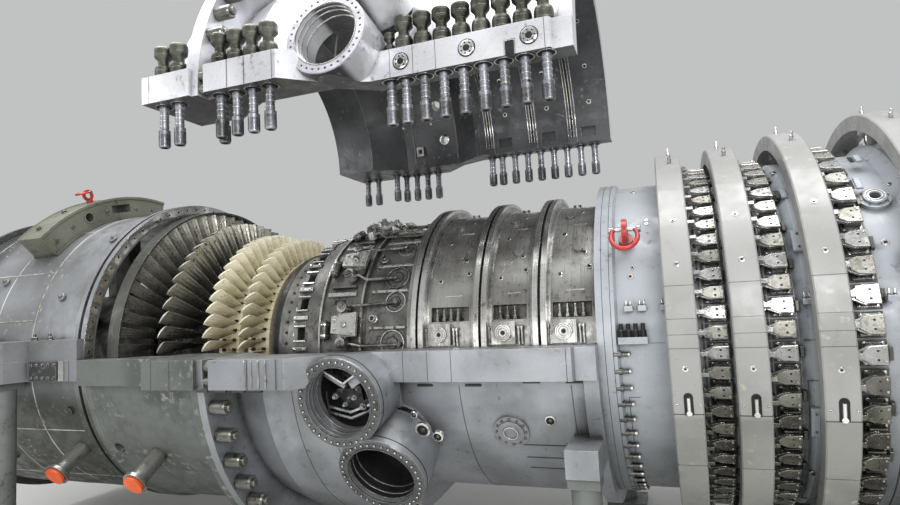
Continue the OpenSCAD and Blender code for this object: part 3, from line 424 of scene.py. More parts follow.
class Shape:
    """A piece made of many small solids, with one material for each kind."""

    def __init__(self, name, body, *looks):
        self.name, self.body, self.looks = name, body, looks
        self.points, self.faces, self.kinds = [], [], []

    def put(self, place, points, faces, kind=0):
        first = len(self.points)
        self.points += [place @ Vector(p) for p in points]
        self.faces += [[first + i for i in f] for f in faces]
        self.kinds += [kind] * len(faces)

    def stack(self, place, loops, kind=0, closed=False):
        """Joins outlines of the same length, with flat ends or in a closed ring."""
        n = len(loops[0])
        points = [p for loop in loops for p in loop]
        count = len(loops)
        faces = []
        for a in range(count if closed else count - 1):
            b = (a + 1) % count
            faces += [[a * n + k, a * n + (k + 1) % n, b * n + (k + 1) % n, b * n + k] for k in range(n)]
        if not closed:
            faces += [list(range(n))[::-1], [(count - 1) * n + k for k in range(n)]]
        self.put(place, points, faces, kind)

    def prism(self, place, outline, z0, z1, c=0.0, kind=0):
        """A plate from z0 to z1 with its top edge chamfered by c."""
        loops = [[(x, y, z0) for x, y in outline]]
        if c:
            loops.append([(x, y, z1 - c) for x, y in outline])
            outline = shrunk(outline, c)
        loops.append([(x, y, z1) for x, y in outline])
        self.stack(place, loops, kind)

    def lathe(self, place, profile, n=20, kind=0):
        """A solid turned about local Z, from a profile of (radius, height)."""
        self.stack(place, [[(x, y, z) for x, y in circle(r, n)] for r, z in profile], kind)

    def hollow(self, place, profile, n=24, kind=0):
        """A ring turned about local Z, from a closed profile of (radius, height)."""
        self.stack(place, [[(x, y, z) for x, y in circle(r, n)] for r, z in profile], kind, closed=True)

    def tube(self, place, r0, r1, z0, z1, n=24, kind=0):
        self.hollow(place, [(r0, z0), (r1, z0), (r1, z1), (r0, z1)], n, kind)

    def block(self, place, w, d, h, c=0.004, kind=0):
        self.prism(place, rectangle(w, d), 0, h, c, kind)

    def bolt(self, place, r, kind=0, washer=True):
        """A hexagon head on its washer, or a bare head."""
        base = 0.0
        if washer:
            base = r * 0.25
            self.lathe(place, [(r * 1.3, 0), (r * 1.3, base * 0.8), (r * 1.2, base)], 12, kind)
        self.prism(place, circle(r, 6), base, base + r * 0.95, r * 0.14, kind)

    def socket(self, place, r, kind=0, dark=1):
        """A round head with a hexagon socket, its recess coloured dark as painted shade."""
        self.lathe(place, [(r, 0), (r, r * 0.8), (r * 0.88, r)], 14, kind)
        self.prism(place, circle(r * 0.52, 6), r * 0.9, r * 1.02, 0, dark)

    def rod(self, points, r, n=8, kind=0):
        """A round bar or pipe along a line of points."""
        points = [Vector(p) for p in points]
        loops = []
        side = None
        for k, p in enumerate(points):
            ahead = (points[min(k + 1, len(points) - 1)] - points[max(k - 1, 0)]).normalized()
            if side is None:
                side = ahead.orthogonal().normalized()
            side = (side - ahead * side.dot(ahead)).normalized()
            up = ahead.cross(side)
            loops.append([tuple(p + side * x + up * y) for x, y in circle(r, n)])
        self.stack(Matrix.Identity(4), loops, kind)

    def arc(self, profile, a0, a1, n=48, kind=0, lift=0.0):
        """A closed (radius, x) profile swept round the shaft from angle a0 to a1."""
        full = abs(a1 - a0) >= 360
        steps = n if full else n + 1
        loops = []
        for k in range(steps):
            a = math.radians(a0 + (a1 - a0) * k / n)
            loops.append([(x, -r * math.cos(a), AXIS + lift + r * math.sin(a)) for r, x in profile])
        self.stack(Matrix.Identity(4), loops, kind, closed=full)

    def band(self, r0, r1, x0, x1, a0, a1, n=48, kind=0, lift=0.0):
        self.arc([(r0, x0), (r1, x0), (r1, x1), (r0, x1)], a0, a1, n, kind, lift)

    def holed_ring(self, place, r0, r1, n, hole_r, h, kind=0, dark=1):
        """A flat ring with n real holes in it, each over a dark floor disc of painted shade."""
        rm = (r0 + r1) / 2
        half = math.pi / n
        spots = [(r1, 0), (r1, half), (rm, half), (r0, half),
                 (r0, 0), (r0, -half), (rm, -half), (r1, -half)]
        for k in range(n):
            middle = math.tau * k / n
            edge = [(r * math.cos(middle + a), r * math.sin(middle + a)) for r, a in spots]
            centre = (rm * math.cos(middle), rm * math.sin(middle))
            hole = [(centre[0] + x, centre[1] + y) for x, y in circle(hole_r, 8, middle)]
            points = [(x, y, h) for x, y in edge + hole] + [(x, y, 0) for x, y in hole]
            points += [(x, y, 0) for x, y in edge]
            faces = []
            for i in range(8):
                j = (i + 1) % 8
                faces += [[i, j, 8 + j, 8 + i], [8 + i, 8 + j, 16 + j, 16 + i]]
                if spots[i][0] == spots[j][0] and spots[i][0] != rm:
                    faces.append([i, 24 + i, 24 + j, j])
            self.put(place, points, faces, kind)
            floor = [(x, y, 0.001) for x, y in hole]
            self.put(place, floor, [list(range(8))], dark)

    def finish(self, replaces=()):
        mesh = bpy.data.meshes.new(self.name)
        mesh.from_pydata([tuple(p) for p in self.points], [], self.faces)
        for look in self.looks:
            mesh.materials.append(MATERIALS[look])
        mesh.polygons.foreach_set("material_index", self.kinds)
        work = bmesh.new()
        work.from_mesh(mesh)
        bmesh.ops.recalc_face_normals(work, faces=work.faces)
        work.to_mesh(mesh)
        work.free()
        mesh.polygons.foreach_set("use_smooth", [True] * len(mesh.polygons))
        mesh.set_sharp_from_angle(angle=math.radians(32))
        piece = bpy.data.objects.new(self.name, mesh)
        bpy.context.scene.collection.objects.link(piece)
        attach(piece, self.body)
        if replaces:
            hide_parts(*replaces)
        return piece


rng = random.Random(7)

# Round ports of both middle casing halves


def port_frames(lifted):
    """Places on the port faces, with local Z outward and local Y upward."""
    for i in range(2):
        if lifted:
            yield i, radial(PORT_ANGLE[i], PORT_X[i], PORT_FACE_R, LIFT)
        else:
            yield i, radial(-PORT_ANGLE[i], PORT_X[i], PORT_FACE_R)
            yield i, radial(180 + PORT_ANGLE[i], PORT_X[i], PORT_FACE_R) @ spin(180, "Z")


def bore_rings(shape, place, kind):
    shape.tube(place, PORT_BORE_R, PORT_BORE_R + 0.01, 0, 0.016, 64, kind)
    for z in (-0.05, -0.11, -0.2):
        shape.hollow(place, [(PORT_BORE_R, z), (PORT_BORE_R, z + 0.02), (PORT_BORE_R - 0.008, z + 0.016),
                             (PORT_BORE_R - 0.008, z + 0.004)], 64, kind)


def make_port_rings():
    shape = Shape("port_rings_lifted", "stator", "port_light", "dark", "bright")
    for i, place in port_frames(True):
        shape.holed_ring(place, PORT_BORE_R + 0.012, PORT_R - 0.004, 34, 0.0145, 0.012)
        bore_rings(shape, place, 2)
    shape.finish()
    shape = Shape("port_rings_lower", "stator", "port_dark", "dark", "bright", "studs")
    for i, place in port_frames(False):
        shape.hollow(place, [(PORT_BORE_R + 0.012, 0), (PORT_R - 0.004, 0), (PORT_R - 0.01, 0.01),
                             (PORT_BORE_R + 0.012, 0.01)], 72)
        shape.hollow(place, [(PORT_R - 0.001, -0.07), (PORT_R + 0.004, -0.068), (PORT_R + 0.004, -0.062),
                             (PORT_R - 0.001, -0.06)], 72, 1)
        bore_rings(shape, place, 0)
        # Painted shade: a dark liner deep in the bore.
        liner_top = -0.26 if i == 0 else -0.03
        shape.tube(place, PORT_BORE_R - 0.005, PORT_BORE_R + 0.002, -0.55, liner_top, 64, 1)
        middle = (PORT_R + PORT_BORE_R) / 2 + 0.004
        for x, y in circle(middle, 36, 0.05):
            spot = place @ shift(x, y, 0.01)
            shape.lathe(spot, [(0.0165, 0), (0.0165, 0.003), (0.012, 0.005)], 12, 1)
            shape.lathe(spot, [(0.0105, 0), (0.0105, 0.012), (0.007, 0.016)], 10, 2)
        if i == 0:
            port_inside(shape, place)
    shape.finish()


def port_inside(shape, place):
    """The bent plate, ribs and pipes that show through the first lower port."""
    depth = -0.27
    for way in SIDES:
        bar = place @ shift(way * 0.1, 0.2, depth) @ Matrix.Rotation(way * 0.55, 4, "Z")
        shape.block(bar, 0.26, 0.022, 0.14, 0.003, 2)
        shape.block(bar @ shift(0, -0.05, -0.1), 0.24, 0.08, 0.16, 0.003, 3)
    for x, y, r in ((-0.16, -0.02, 0.035), (-0.06, -0.1, 0.028), (0.05, -0.03, 0.03), (0.13, -0.12, 0.04)):
        shape.lathe(place @ shift(x, y, depth - 0.05),
                    [(r, 0), (r, 0.08), (r * 0.8, 0.1), (r * 0.5, 0.1), (r * 0.5, 0.13)], 16, 3)
    for dy in (-0.2, -0.14):
        shape.rod([place @ Vector((-0.26, dy, depth)), place @ Vector((0.0, dy - 0.03, depth + 0.06)),
                   place @ Vector((0.25, dy + 0.05, depth))], 0.016, 8, 2)


# Collars and threads of the studs, over and under the lifted flange


def stud_places():
    """The studs of both sides, with the scale of their nuts."""
    for side in SIDES:
        for x in STUD_X_LEFT + STUD_X_MID:
            yield x, side * STUD_Y_LEFT, 1.0
        for k, x in enumerate(STUD_X_RIGHT):
            yield x, side * STUD_Y_RIGHT, 1.0 if k else SMALL_NUT
        yield STUD_X_NOTCH, side * STUD_Y_NOTCH, SMALL_NUT


def make_stud_collars():
    shape = Shape("stud_collars", "stator", "bright", "studs", "dark", "black")
    bottom = AXIS + LIFT
    top = bottom + FLANGE_T
    for x, y, k in stud_places():
        # Painted shade: a dark ring round each stud just under the flange.
        shape.hollow(at(x, y, bottom - 0.014), [(0.056, 0), (0.078, 0), (0.082, 0.005), (0.082, 0.0135),
                                                (0.056, 0.0135)], 28, 2)
        shape.tube(at(x, y, bottom - 0.01), 0.084, 0.094, 0, 0.0095, 28)
        for z, r in ((-0.115, 0.048), (-0.175, 0.05), (-0.235, 0.048)):
            shape.hollow(at(x, y, bottom + z), [(0.0435, 0), (r, 0.003), (r, 0.012), (0.0435, 0.015)], 20)
        for turn in range(10):
            z = bottom - 0.322 - THREAD_PITCH * turn
            shape.hollow(at(x, y, z), [(0.0565, 0), (0.0612, 0.0035), (0.0612, 0.006), (0.0565, 0.0095)],
                         18, 3)
        # Painted shade: a dark disc at the lower end of each stud.
        shape.lathe(at(x, y, bottom - STUD_TIP), [(0.03, -0.003), (0.034, 0), (0.034, 0.01)], 16, 2)
        for z, r in ((0.02, 0.0945), (0.08, 0.0945), (0.262, 0.0965), (0.32, 0.0965)):
            shape.hollow(at(x, y, top + z * k), [((r - 0.006) * k, 0), (r * k, 0.002), (r * k, 0.007),
                                                 ((r - 0.006) * k, 0.009)], 28, 1)
        # Painted shade: a dark disc on the top of each stud.
        shape.lathe(at(x, y, top + 0.3495 * k), [(0.03 * k, 0), (0.03 * k, 0.004), (0.02 * k, 0.005)],
                    12, 2)
    shape.finish()


# The lifted flange: plugs, seams and a notch on its edge, and what shows inside the hanging casing


def make_flange_details():
    shape = Shape("flange_details", "stator", "bright", "dark", "seam")
    middle = AXIS + LIFT + FLANGE_T / 2
    for side, facing in ((-1, "near"), (1, "far")):
        for x in PLUG_X:
            spot = at(x, side * HALF_W_FRONT, middle, facing)
            # Painted shade: a dark ring round each plug and a dark centre in it.
            shape.lathe(spot, [(0.088, -0.002), (0.088, 0.003), (0.084, 0.005)], 32, 1)
            shape.lathe(spot, [(0.076, 0.004), (0.076, 0.009), (0.072, 0.011)], 32)
            shape.lathe(spot, [(0.034, 0.01), (0.034, 0.014), (0.03, 0.015)], 20, 1)
            for px, py in circle(0.054, 7):
                shape.lathe(spot @ shift(px, py, 0.01), [(0.009, 0), (0.009, 0.004), (0.006, 0.005)],
                            10, 1)
        spot = at(NOTCH_X, side * HALF_W_FRONT, AXIS + LIFT + 0.075, facing)
        shape.block(spot, 0.11, 0.15, 0.003, 0.001, 0)
        # Painted shade: the dark floor of the notch.
        shape.block(spot @ shift(0, side * 0.008, 0), 0.085, 0.135, 0.0045, 0.001, 1)
        for seams, half_w in ((SEAM_X_RIGHT, HALF_W_FRONT), (SEAM_X_LEFT, HALF_W_TURBINE)):
            for x in seams:
                shape.block(at(x, side * half_w, middle, facing), 0.005, FLANGE_T, 0.001, 0, 2)
    shape.finish()


def make_lifted_inside():
    shape = Shape("lifted_inside", "stator", "bright", "dark", "hub", "bracket")
    for x0 in ARCH_X:
        for dx in (0.006, 0.045, 0.085, 0.124):
            x = x0 + dx
            shape.band(ARCH_R - 0.006, ARCH_R + 0.004, x - 0.005, x + 0.005, 3, 177, 60, 0, LIFT)
        # Painted shade: a dark band in the groove between the arch lines.
        shape.band(ARCH_R - 0.003, ARCH_R + 0.004, x0 + 0.05, x0 + 0.08, 3, 177, 60, 1, LIFT)
    wall = BELT_R - 0.15
    for angle in (8.2, 171.8):
        spot = radial(angle, -0.84, wall - 0.05, LIFT)
        shape.block(spot, 0.12, 0.15, 0.06, 0.008, 3)
        # Painted shade: a dark pocket in each bracket.
        shape.block(spot @ shift(0, 0, -0.012), 0.05, 0.06, 0.02, 0.003, 1)
    for x, angle in VENTS:
        shape.hollow(radial(angle, x, wall, LIFT),
                     [(0.06, -0.012), (0.082, -0.008), (0.082, 0.01), (0.06, 0.01)], 28)
    rail = ARCH_R + 0.03
    for x in (0.72, 1.36, 1.98):
        for angle in (28, 52, 118, 142, 160):
            shape.hollow(radial(angle, x, rail, LIFT),
                         [(0.02, -0.006), (0.034, -0.004), (0.034, 0.01), (0.02, 0.01)], 16)
            # Painted shade: a dark disc in each rail hole.
            shape.lathe(radial(angle, x, rail, LIFT), [(0.018, -0.002), (0.02, 0.001)], 12, 1)
    for x in (-1.1, -0.6):
        for angle in range(15, 170, 12):
            shape.lathe(radial(angle, x, wall - 0.012, LIFT), [(0.022, 0), (0.03, 0.014)], 12, 3)
    for x in (-0.95, -0.2, 0.0):
        shape.band(wall - 0.01, wall + 0.004, x - 0.008, x + 0.008, 3, 177, 60, 2, LIFT)
    for angle in (24, 44, 70, 96, 122, 148, 158):
        shape.band(wall - 0.016, wall + 0.004, -0.92, -0.22, angle - 0.25, angle + 0.25, 1, 2, LIFT)
    shape.finish()


# Lever rows: cover plates, screws, link pins and base bolts


def make_lever_details(i):
    shape = Shape("lever_details_%d" % (i + 1), "stator", "lever", "dark", "bright", "lever_dark",
                  "lever_beige")
    pitch = math.tau * ZONE_R[i] / LEVER_N[i]
    reach = LEVER_DX - RING_W / 2
    for k in range(LEVER_N[i]):
        place = radial(360 * (k + 0.5) / LEVER_N[i], RING_X[i] + LEVER_DX, ZONE_R[i])
        cover = 0 if k % 2 else 4
        w = pitch * 0.36
        outline = [(-0.045, -w * 0.9), (0.066, -w), (0.066, w), (-0.045, w * 0.9), (-0.1, w * 0.42),
                   (-0.1, -w * 0.42)]
        shape.prism(place @ shift(0, 0, 0.112), outline, 0, 0.016, 0.005, cover)
        for dy in SIDES:
            shape.socket(place @ shift(0.046, dy * w * 0.62, 0.128), 0.0085, 2)
            # Painted shade: dark discs for the holes in the cover plate.
            shape.lathe(place @ shift(0.0, dy * w * 0.45, 0.1275), [(0.011, 0), (0.009, 0.0012)], 12, 1)
        shape.lathe(place @ shift(-0.108, 0, 0.1),
                    [(0.024, 0), (0.024, 0.02), (0.019, 0.034), (0.012, 0.034), (0.012, 0.042)], 14, cover)
        for dy in SIDES:
            shape.lathe(place @ shift(-reach + 0.024, dy * pitch * 0.15, 0.026),
                        [(0.0125, 0), (0.0125, 0.075), (0.009, 0.085)], 10, 2)
        shape.block(place @ shift(0.005, 0, 0.026), 0.12, pitch * 0.56, 0.034, 0.006, 3)
        shape.block(place @ shift(0.0, 0, -0.002), 0.19, pitch * 0.93, 0.012, 0.004, 3)
        for dx in (-0.06, 0.06):
            for dy in SIDES:
                shape.bolt(place @ shift(dx, dy * pitch * 0.35, 0.024), 0.0115, 2)
        shape.rod([place @ Vector((-0.12, side * pitch * 0.5, 0.05)) for side in SIDES], 0.009, 6, 3)
        if k % 2:
            shape.block(place @ shift(0.105, 0, -0.002), 0.03, pitch * 0.5, 0.05, 0.004, 3)
    shape.finish()


# Guide-vane rings: creases, split lines with slotted bolts, lifting holes and posts on top


def make_ring_details():
    shape = Shape("ring_details", "stator", "ring", "seam", "dark", "bright")
    for i in range(4):
        r = ZONE_R[i] + RING_GAP + RING_T
        x0, x1 = RING_X[i] - RING_W / 2, RING_X[i] + RING_W / 2

        def line(angle, half, kind=1):
            shape.band(r - 0.02, r + 0.0007, x0 + 0.003, x1 - 0.003, angle - half, angle + half, 1, kind)

        for near in (True, False):
            for angle, half in ((14.5, 0.05), (6.3, 0.035), (2.5, 0.035), (-0.8, 0.05), (-17.0, 0.12)):
                line(angle if near else 180 - angle, half)
            for angle in (20.1, -5.7, 33.0):
                spot = radial(angle if near else 180 - angle, RING_X[i], r)
                shape.lathe(spot, [(0.024, -0.01), (0.024, 0.002), (0.02, 0.003)], 18, 3)
                # Painted shade: a dark hexagon socket in each head.
                shape.prism(spot, circle(0.011, 6), 0.001, 0.0042, 0, 2)
            low = -14.2 if near else 194.2
            spot = radial(low, RING_X[i] + 0.005, r)
            way = 1 if near else -1
            slot = [(0.036 * math.cos(a), way * (0.055 + 0.036 * math.sin(a))) for a in
                    [math.pi * k / 8 for k in range(9)]] + [(-0.036, -way * 0.1), (0.036, -way * 0.1)]
            if not near:
                slot.reverse()
            # Painted shade: the dark floor of the slot at the split line.
            shape.prism(spot, slot, -0.002, 0.0015, 0, 2)
            shape.rod([spot @ Vector((0, way * y, 0.004)) for y in (0.05, -0.075)], 0.016, 12, 3)
            shape.bolt(spot @ shift(0, -way * 0.08, -0.008), 0.026, 3)
            for dx in (-0.09, 0.09):
                shape.socket(spot @ shift(dx, -way * 0.015, -0.006), 0.012, 3, 2)
        for angle in (62, 84, 112, 136):
            spot = radial(angle, RING_X[i] + 0.02, r - 0.004)
            shape.lathe(spot, [(0.018, 0), (0.018, 0.05), (0.012, 0.056), (0.012, 0.085), (0.008, 0.09)],
                        12, 3)
        for angle in (-32, -58, 212, 238):
            line(angle, 0.06)
    shape.finish()


# Compressor and inlet casings: joint studs, split-line groups, plugs, pads and recess outlines


def plug(shape, place, r, kind=2):
    shape.lathe(place, [(r, -0.004), (r, 0.004), (r * 0.9, 0.007)], 20, kind)
    # The plug's hexagon socket is coloured dark as painted shade.
    shape.prism(place, circle(r * 0.5, 6), 0.005, 0.0078, 0, 1)


def make_compressor_details():
    shape = Shape("compressor_details", "stator", "compressor", "dark", "bright", "bolt", "seam")
    shoulder = X_FRONT + 0.165
    for k in range(34):
        spot = radial(-3.1 - 5.27 * k, shoulder, CASE_R + 0.022) @ spin(90, "Y")
        shape.lathe(spot, [(0.03, -0.03), (0.03, 0.03), (0.024, 0.036), (0.021, 0.036), (0.021, 0.09)],
                    14, 3)
        shape.lathe(spot @ shift(0, 0, 0.09), [(0.02, 0), (0.02, 0.018), (0.014, 0.024)], 14, 2)
    for near in (True, False):
        side = -1 if near else 1
        for x, r in SPLIT_GROUPS:
            y = side * (r + 0.005)
            shape.block(at(x, y, AXIS + 0.285), 0.07, 0.09, 0.045, 0.006)
            for dx in (-0.018, 0.018):
                spot = at(x + dx, y + side * 0.015, AXIS + 0.33)
                shape.bolt(spot, 0.014, 3)
                shape.lathe(spot, [(0.008, 0.01), (0.008, 0.05), (0.006, 0.054)], 10, 2)
        for x, r, angle, size in CASING_PLUGS:
            plug(shape, radial(angle if near else 180 - angle, x, r), size)
        for x, r, angle in ((3.854, 1.722, 47.0), (4.396, 1.812, 44.3), (4.5, 1.812, 58.0)):
            a = angle if near else 180 - angle
            # Painted shade: a dark plate beside each raised block.
            shape.block(radial(a, x, r - 0.002), 0.035, 0.12, 0.006, 0.001, 1)
            shape.block(radial(a, x + 0.05, r - 0.002), 0.05, 0.14, 0.02, 0.006)
        for x, r, angle, w, d in ((3.915, 1.722, 27.7, 0.09, 0.2), (3.905, 1.722, -22.5, 0.07, 0.26),
                                  (4.62, 1.812, 20.0, 0.08, 0.16), (4.62, 1.812, -14.0, 0.08, 0.2)):
            spot = radial(angle if near else 180 - angle, x, r - 0.004)
            shape.block(spot, w, d, 0.034, 0.008)
            for dy in (-d * 0.32, d * 0.32):
                shape.socket(spot @ shift(0, dy, 0.034), 0.01, 3)
        for x, r, a0, a1 in ((3.86, 1.722, -10.8, -60), (3.97, 1.722, -10.8, -60), (2.47, 1.64, -17, -80),
                             (4.47, 1.812, -8, -60)):
            for a in (a0, a1):
                angle = a if near else 180 - a
                shape.band(r - 0.01, r + 0.0012, x, x + 0.1, angle - 0.08, angle + 0.08, 1, 4)
            angles = (a1, a0) if near else (180 - a0, 180 - a1)
            shape.band(r - 0.01, r + 0.0012, x, x + 0.006, angles[0], angles[1], 24, 4)
    for x, r in ((X_FRONT + 0.06, CASE_R + 0.045), (X_FRONT + 0.13, CASE_R + 0.045)):
        shape.band(r - 0.01, r + 0.001, x, x + 0.005, 0, 360, 96, 4)
    for angle in (40, 140):
        spot = radial(angle, PAD_X, ZONE_R[2] + 0.065)
        for r in (0.046, 0.066):
            shape.hollow(spot, [(r, -0.002), (r + 0.01, -0.002), (r + 0.008, 0.006), (r + 0.002, 0.006)],
                         32, 2)
        for x, y in circle(0.1, 8, 0.2):
            place = radial(angle, PAD_X, ZONE_R[2] + 0.04) @ shift(x, y, -0.001)
            shape.bolt(place, 0.009, 3, washer=False)
    for split in (0, 180):
        for r0, r1, x0, x1 in ((CASE_R, ZONE_R[0] + 0.001, shoulder + 0.03, RING_X[0] - 0.14),
                               (1.6, ZONE_R[2] + 0.001, 3.86, 3.99)):
            shape.band(r0, r1, x0, x1, split - 0.06, split + 0.06, 1, 4)
    for way in SIDES:
        for k in range(72):
            spot = radial(360 * (k + 0.5) / 72, X_INLET + 0.07 * way, ZONE_R[3] + 0.035)
            shape.bolt(spot @ spin(90 * way, "Y"), 0.016, 3)
    for k in range(16):
        plug(shape, radial(360 * (k + 0.5) / 16, X_INLET + 0.45, ZONE_R[3] - 0.04), 0.03)
    for x in (X_INLET + 0.3, X_INLET + 0.62):
        shape.band(ZONE_R[3] - 0.06, ZONE_R[3] - 0.034, x, x + 0.03, 0, 360, 96)
    shape.finish()


# Vane carriers: bright double arch rings, stud rows, pads with circles and small holes


def make_carrier_details():
    shape = Shape("carrier_details", "stator", "arch", "dark", "bright", "bolt", "carrier")
    ends = (ARCH_X[1] - 0.03, ARCH_X[2] - 0.03, X_FRONT)
    for i in range(3):
        x0 = ARCH_X[i]
        for a, b in ((x0, x0 + 0.05), (x0 + 0.08, x0 + ARCH_W)):
            shape.band(ARCH_R - 0.04, ARCH_R + 0.0015, a - 0.0015, b + 0.0015, 0.05, 179.95, 72)
        # Painted shade: a dark band in the groove between the two arch rings.
        shape.band(ARCH_R - 0.05, ARCH_R - 0.0435, x0 + 0.05, x0 + 0.08, 0.05, 179.95, 72, 1)
        start, end = x0 + ARCH_W, ends[i]
        shape.band(CARRIER_R - 0.01, CARRIER_R + 0.012, start, start + 0.03, 0.05, 179.95, 72, 2)
        shape.band(CARRIER_R - 0.03, CARRIER_R - 0.008, end - 0.05, end - 0.02, 0.05, 179.95, 72, 4)
        n = int((end - start - 0.16) / 0.075)
        for side in SIDES:
            for k in range(n):
                x = start + 0.11 + 0.075 * k
                y = side * (CARRIER_R - 0.065)
                shape.lathe(at(x, y, AXIS + 0.24), [(0.02, 0), (0.02, 0.09), (0.015, 0.096), (0.015, 0.135),
                                                    (0.011, 0.14)], 10, 3)
                shape.bolt(at(x, y, AXIS + 0.255), 0.028, 3)
            pad = radial(4.6 if side < 0 else 175.4, start + 0.15, CARRIER_R + 0.044)
            for r in (0.03, 0.054, 0.072):
                shape.hollow(pad, [(r, -0.002), (r + 0.007, -0.002), (r + 0.005, 0.005),
                                   (r + 0.001, 0.005)], 28, 2)
            # Painted shade: a dark centre in the pad.
            shape.lathe(pad, [(0.02, -0.002), (0.02, 0.003), (0.015, 0.005)], 16, 1)
            for dx in (-0.15, 0.15, 0.185):
                spot = at(start + 0.15 + dx, side * (CARRIER_R + 0.005), AXIS + 0.005)
                shape.lathe(spot, [(0.014, 0), (0.014, 0.15), (0.02, 0.152), (0.02, 0.18), (0.012, 0.186)],
                            12, 2)
            for angle, along in ((26.6, 0.25), (29.4, 0.85), (36.1, 0.75), (47.0, 0.3), (66.0, 0.6)):
                x = start + (end - start) * along
                spot = radial(angle if side < 0 else 180 - angle, x, CARRIER_R - 0.012)
                shape.lathe(spot, [(0.026, -0.004), (0.026, 0.006), (0.022, 0.008)], 18, 2)
                # Painted shade: a dark centre in each hole.
                shape.lathe(spot, [(0.016, 0.007), (0.016, 0.0095), (0.014, 0.01)], 14, 1)
            for angle in (20.0, 54.0, 76.0):
                x = start + (end - start) * 0.5
                spot = radial(angle if side < 0 else 180 - angle, x, CARRIER_R - 0.014)
                shape.block(spot, (end - start) * 0.5, 0.012, 0.006, 0.001, 2)
    shape.finish()


# Burner section: holes in the dark band (dark discs of painted shade), panels, bars, pipes and ring
# outlines round the hub


def make_burner_details():
    shape = Shape("burner_details", "stator", "bracket", "dark", "bright", "hub", "bolt", "pipe")
    for k in range(60):
        spot = radial(6 * k + 3, BURNER_X + 0.12, HOLE_BAND_R)
        # Painted shade: a dark disc for each hole.
        shape.lathe(spot, [(0.017, -0.02), (0.017, 0.006), (0.014, 0.007)], 12, 1)
    for k in range(48):
        spot = radial(7.5 * k, BURNER_X + 0.245, COLLAR_R)
        shape.lathe(spot, [(0.022, -0.02), (0.022, 0.006), (0.012, 0.006), (0.012, 0.016)], 12, 2)
    shape.band(1.21, 1.226, BURNER_X + 0.262, BURNER_X + 0.276, 0, 360, 96, 2)
    for k in range(24):
        angle = 15 * k
        spot = radial(angle, BURNER_X + 0.41, RIM_BLOCK_R)
        shape.block(spot, 0.19, 0.05, 0.05, 0.008, 0 if k % 3 else 3)
        for dx in (-0.06, 0.06):
            shape.bolt(spot @ shift(dx, 0, 0.05), 0.014, 2)
        frame_spot = radial(angle + 7.5, BURNER_X + 0.405, RIM_BLOCK_R)
        for dy in (-0.085, 0.085):
            shape.block(frame_spot @ shift(0, dy, -0.01), 0.16, 0.018, 0.045, 0.003, 2)
    for k in range(BURNER_CELLS):
        make_burner_cell(shape, 10 + 360 / BURNER_CELLS * k)
    for x in (-0.83, -0.32, 0.27):
        shape.band(HUB_R - 0.01, HUB_R + 0.026, x, x + 0.022, 0, 360, 96, 0)
    for k in range(72):
        shape.bolt(radial(5 * k + 2, -0.2, HUB_R + 0.009), 0.012, 4)
    shape.finish()


def ring_outline(shape, place, r, kind=2):
    profile = [(r, -0.004), (r + 0.016, -0.004), (r + 0.014, 0.012), (r + 0.003, 0.012)]
    shape.hollow(place, profile, 32, kind)


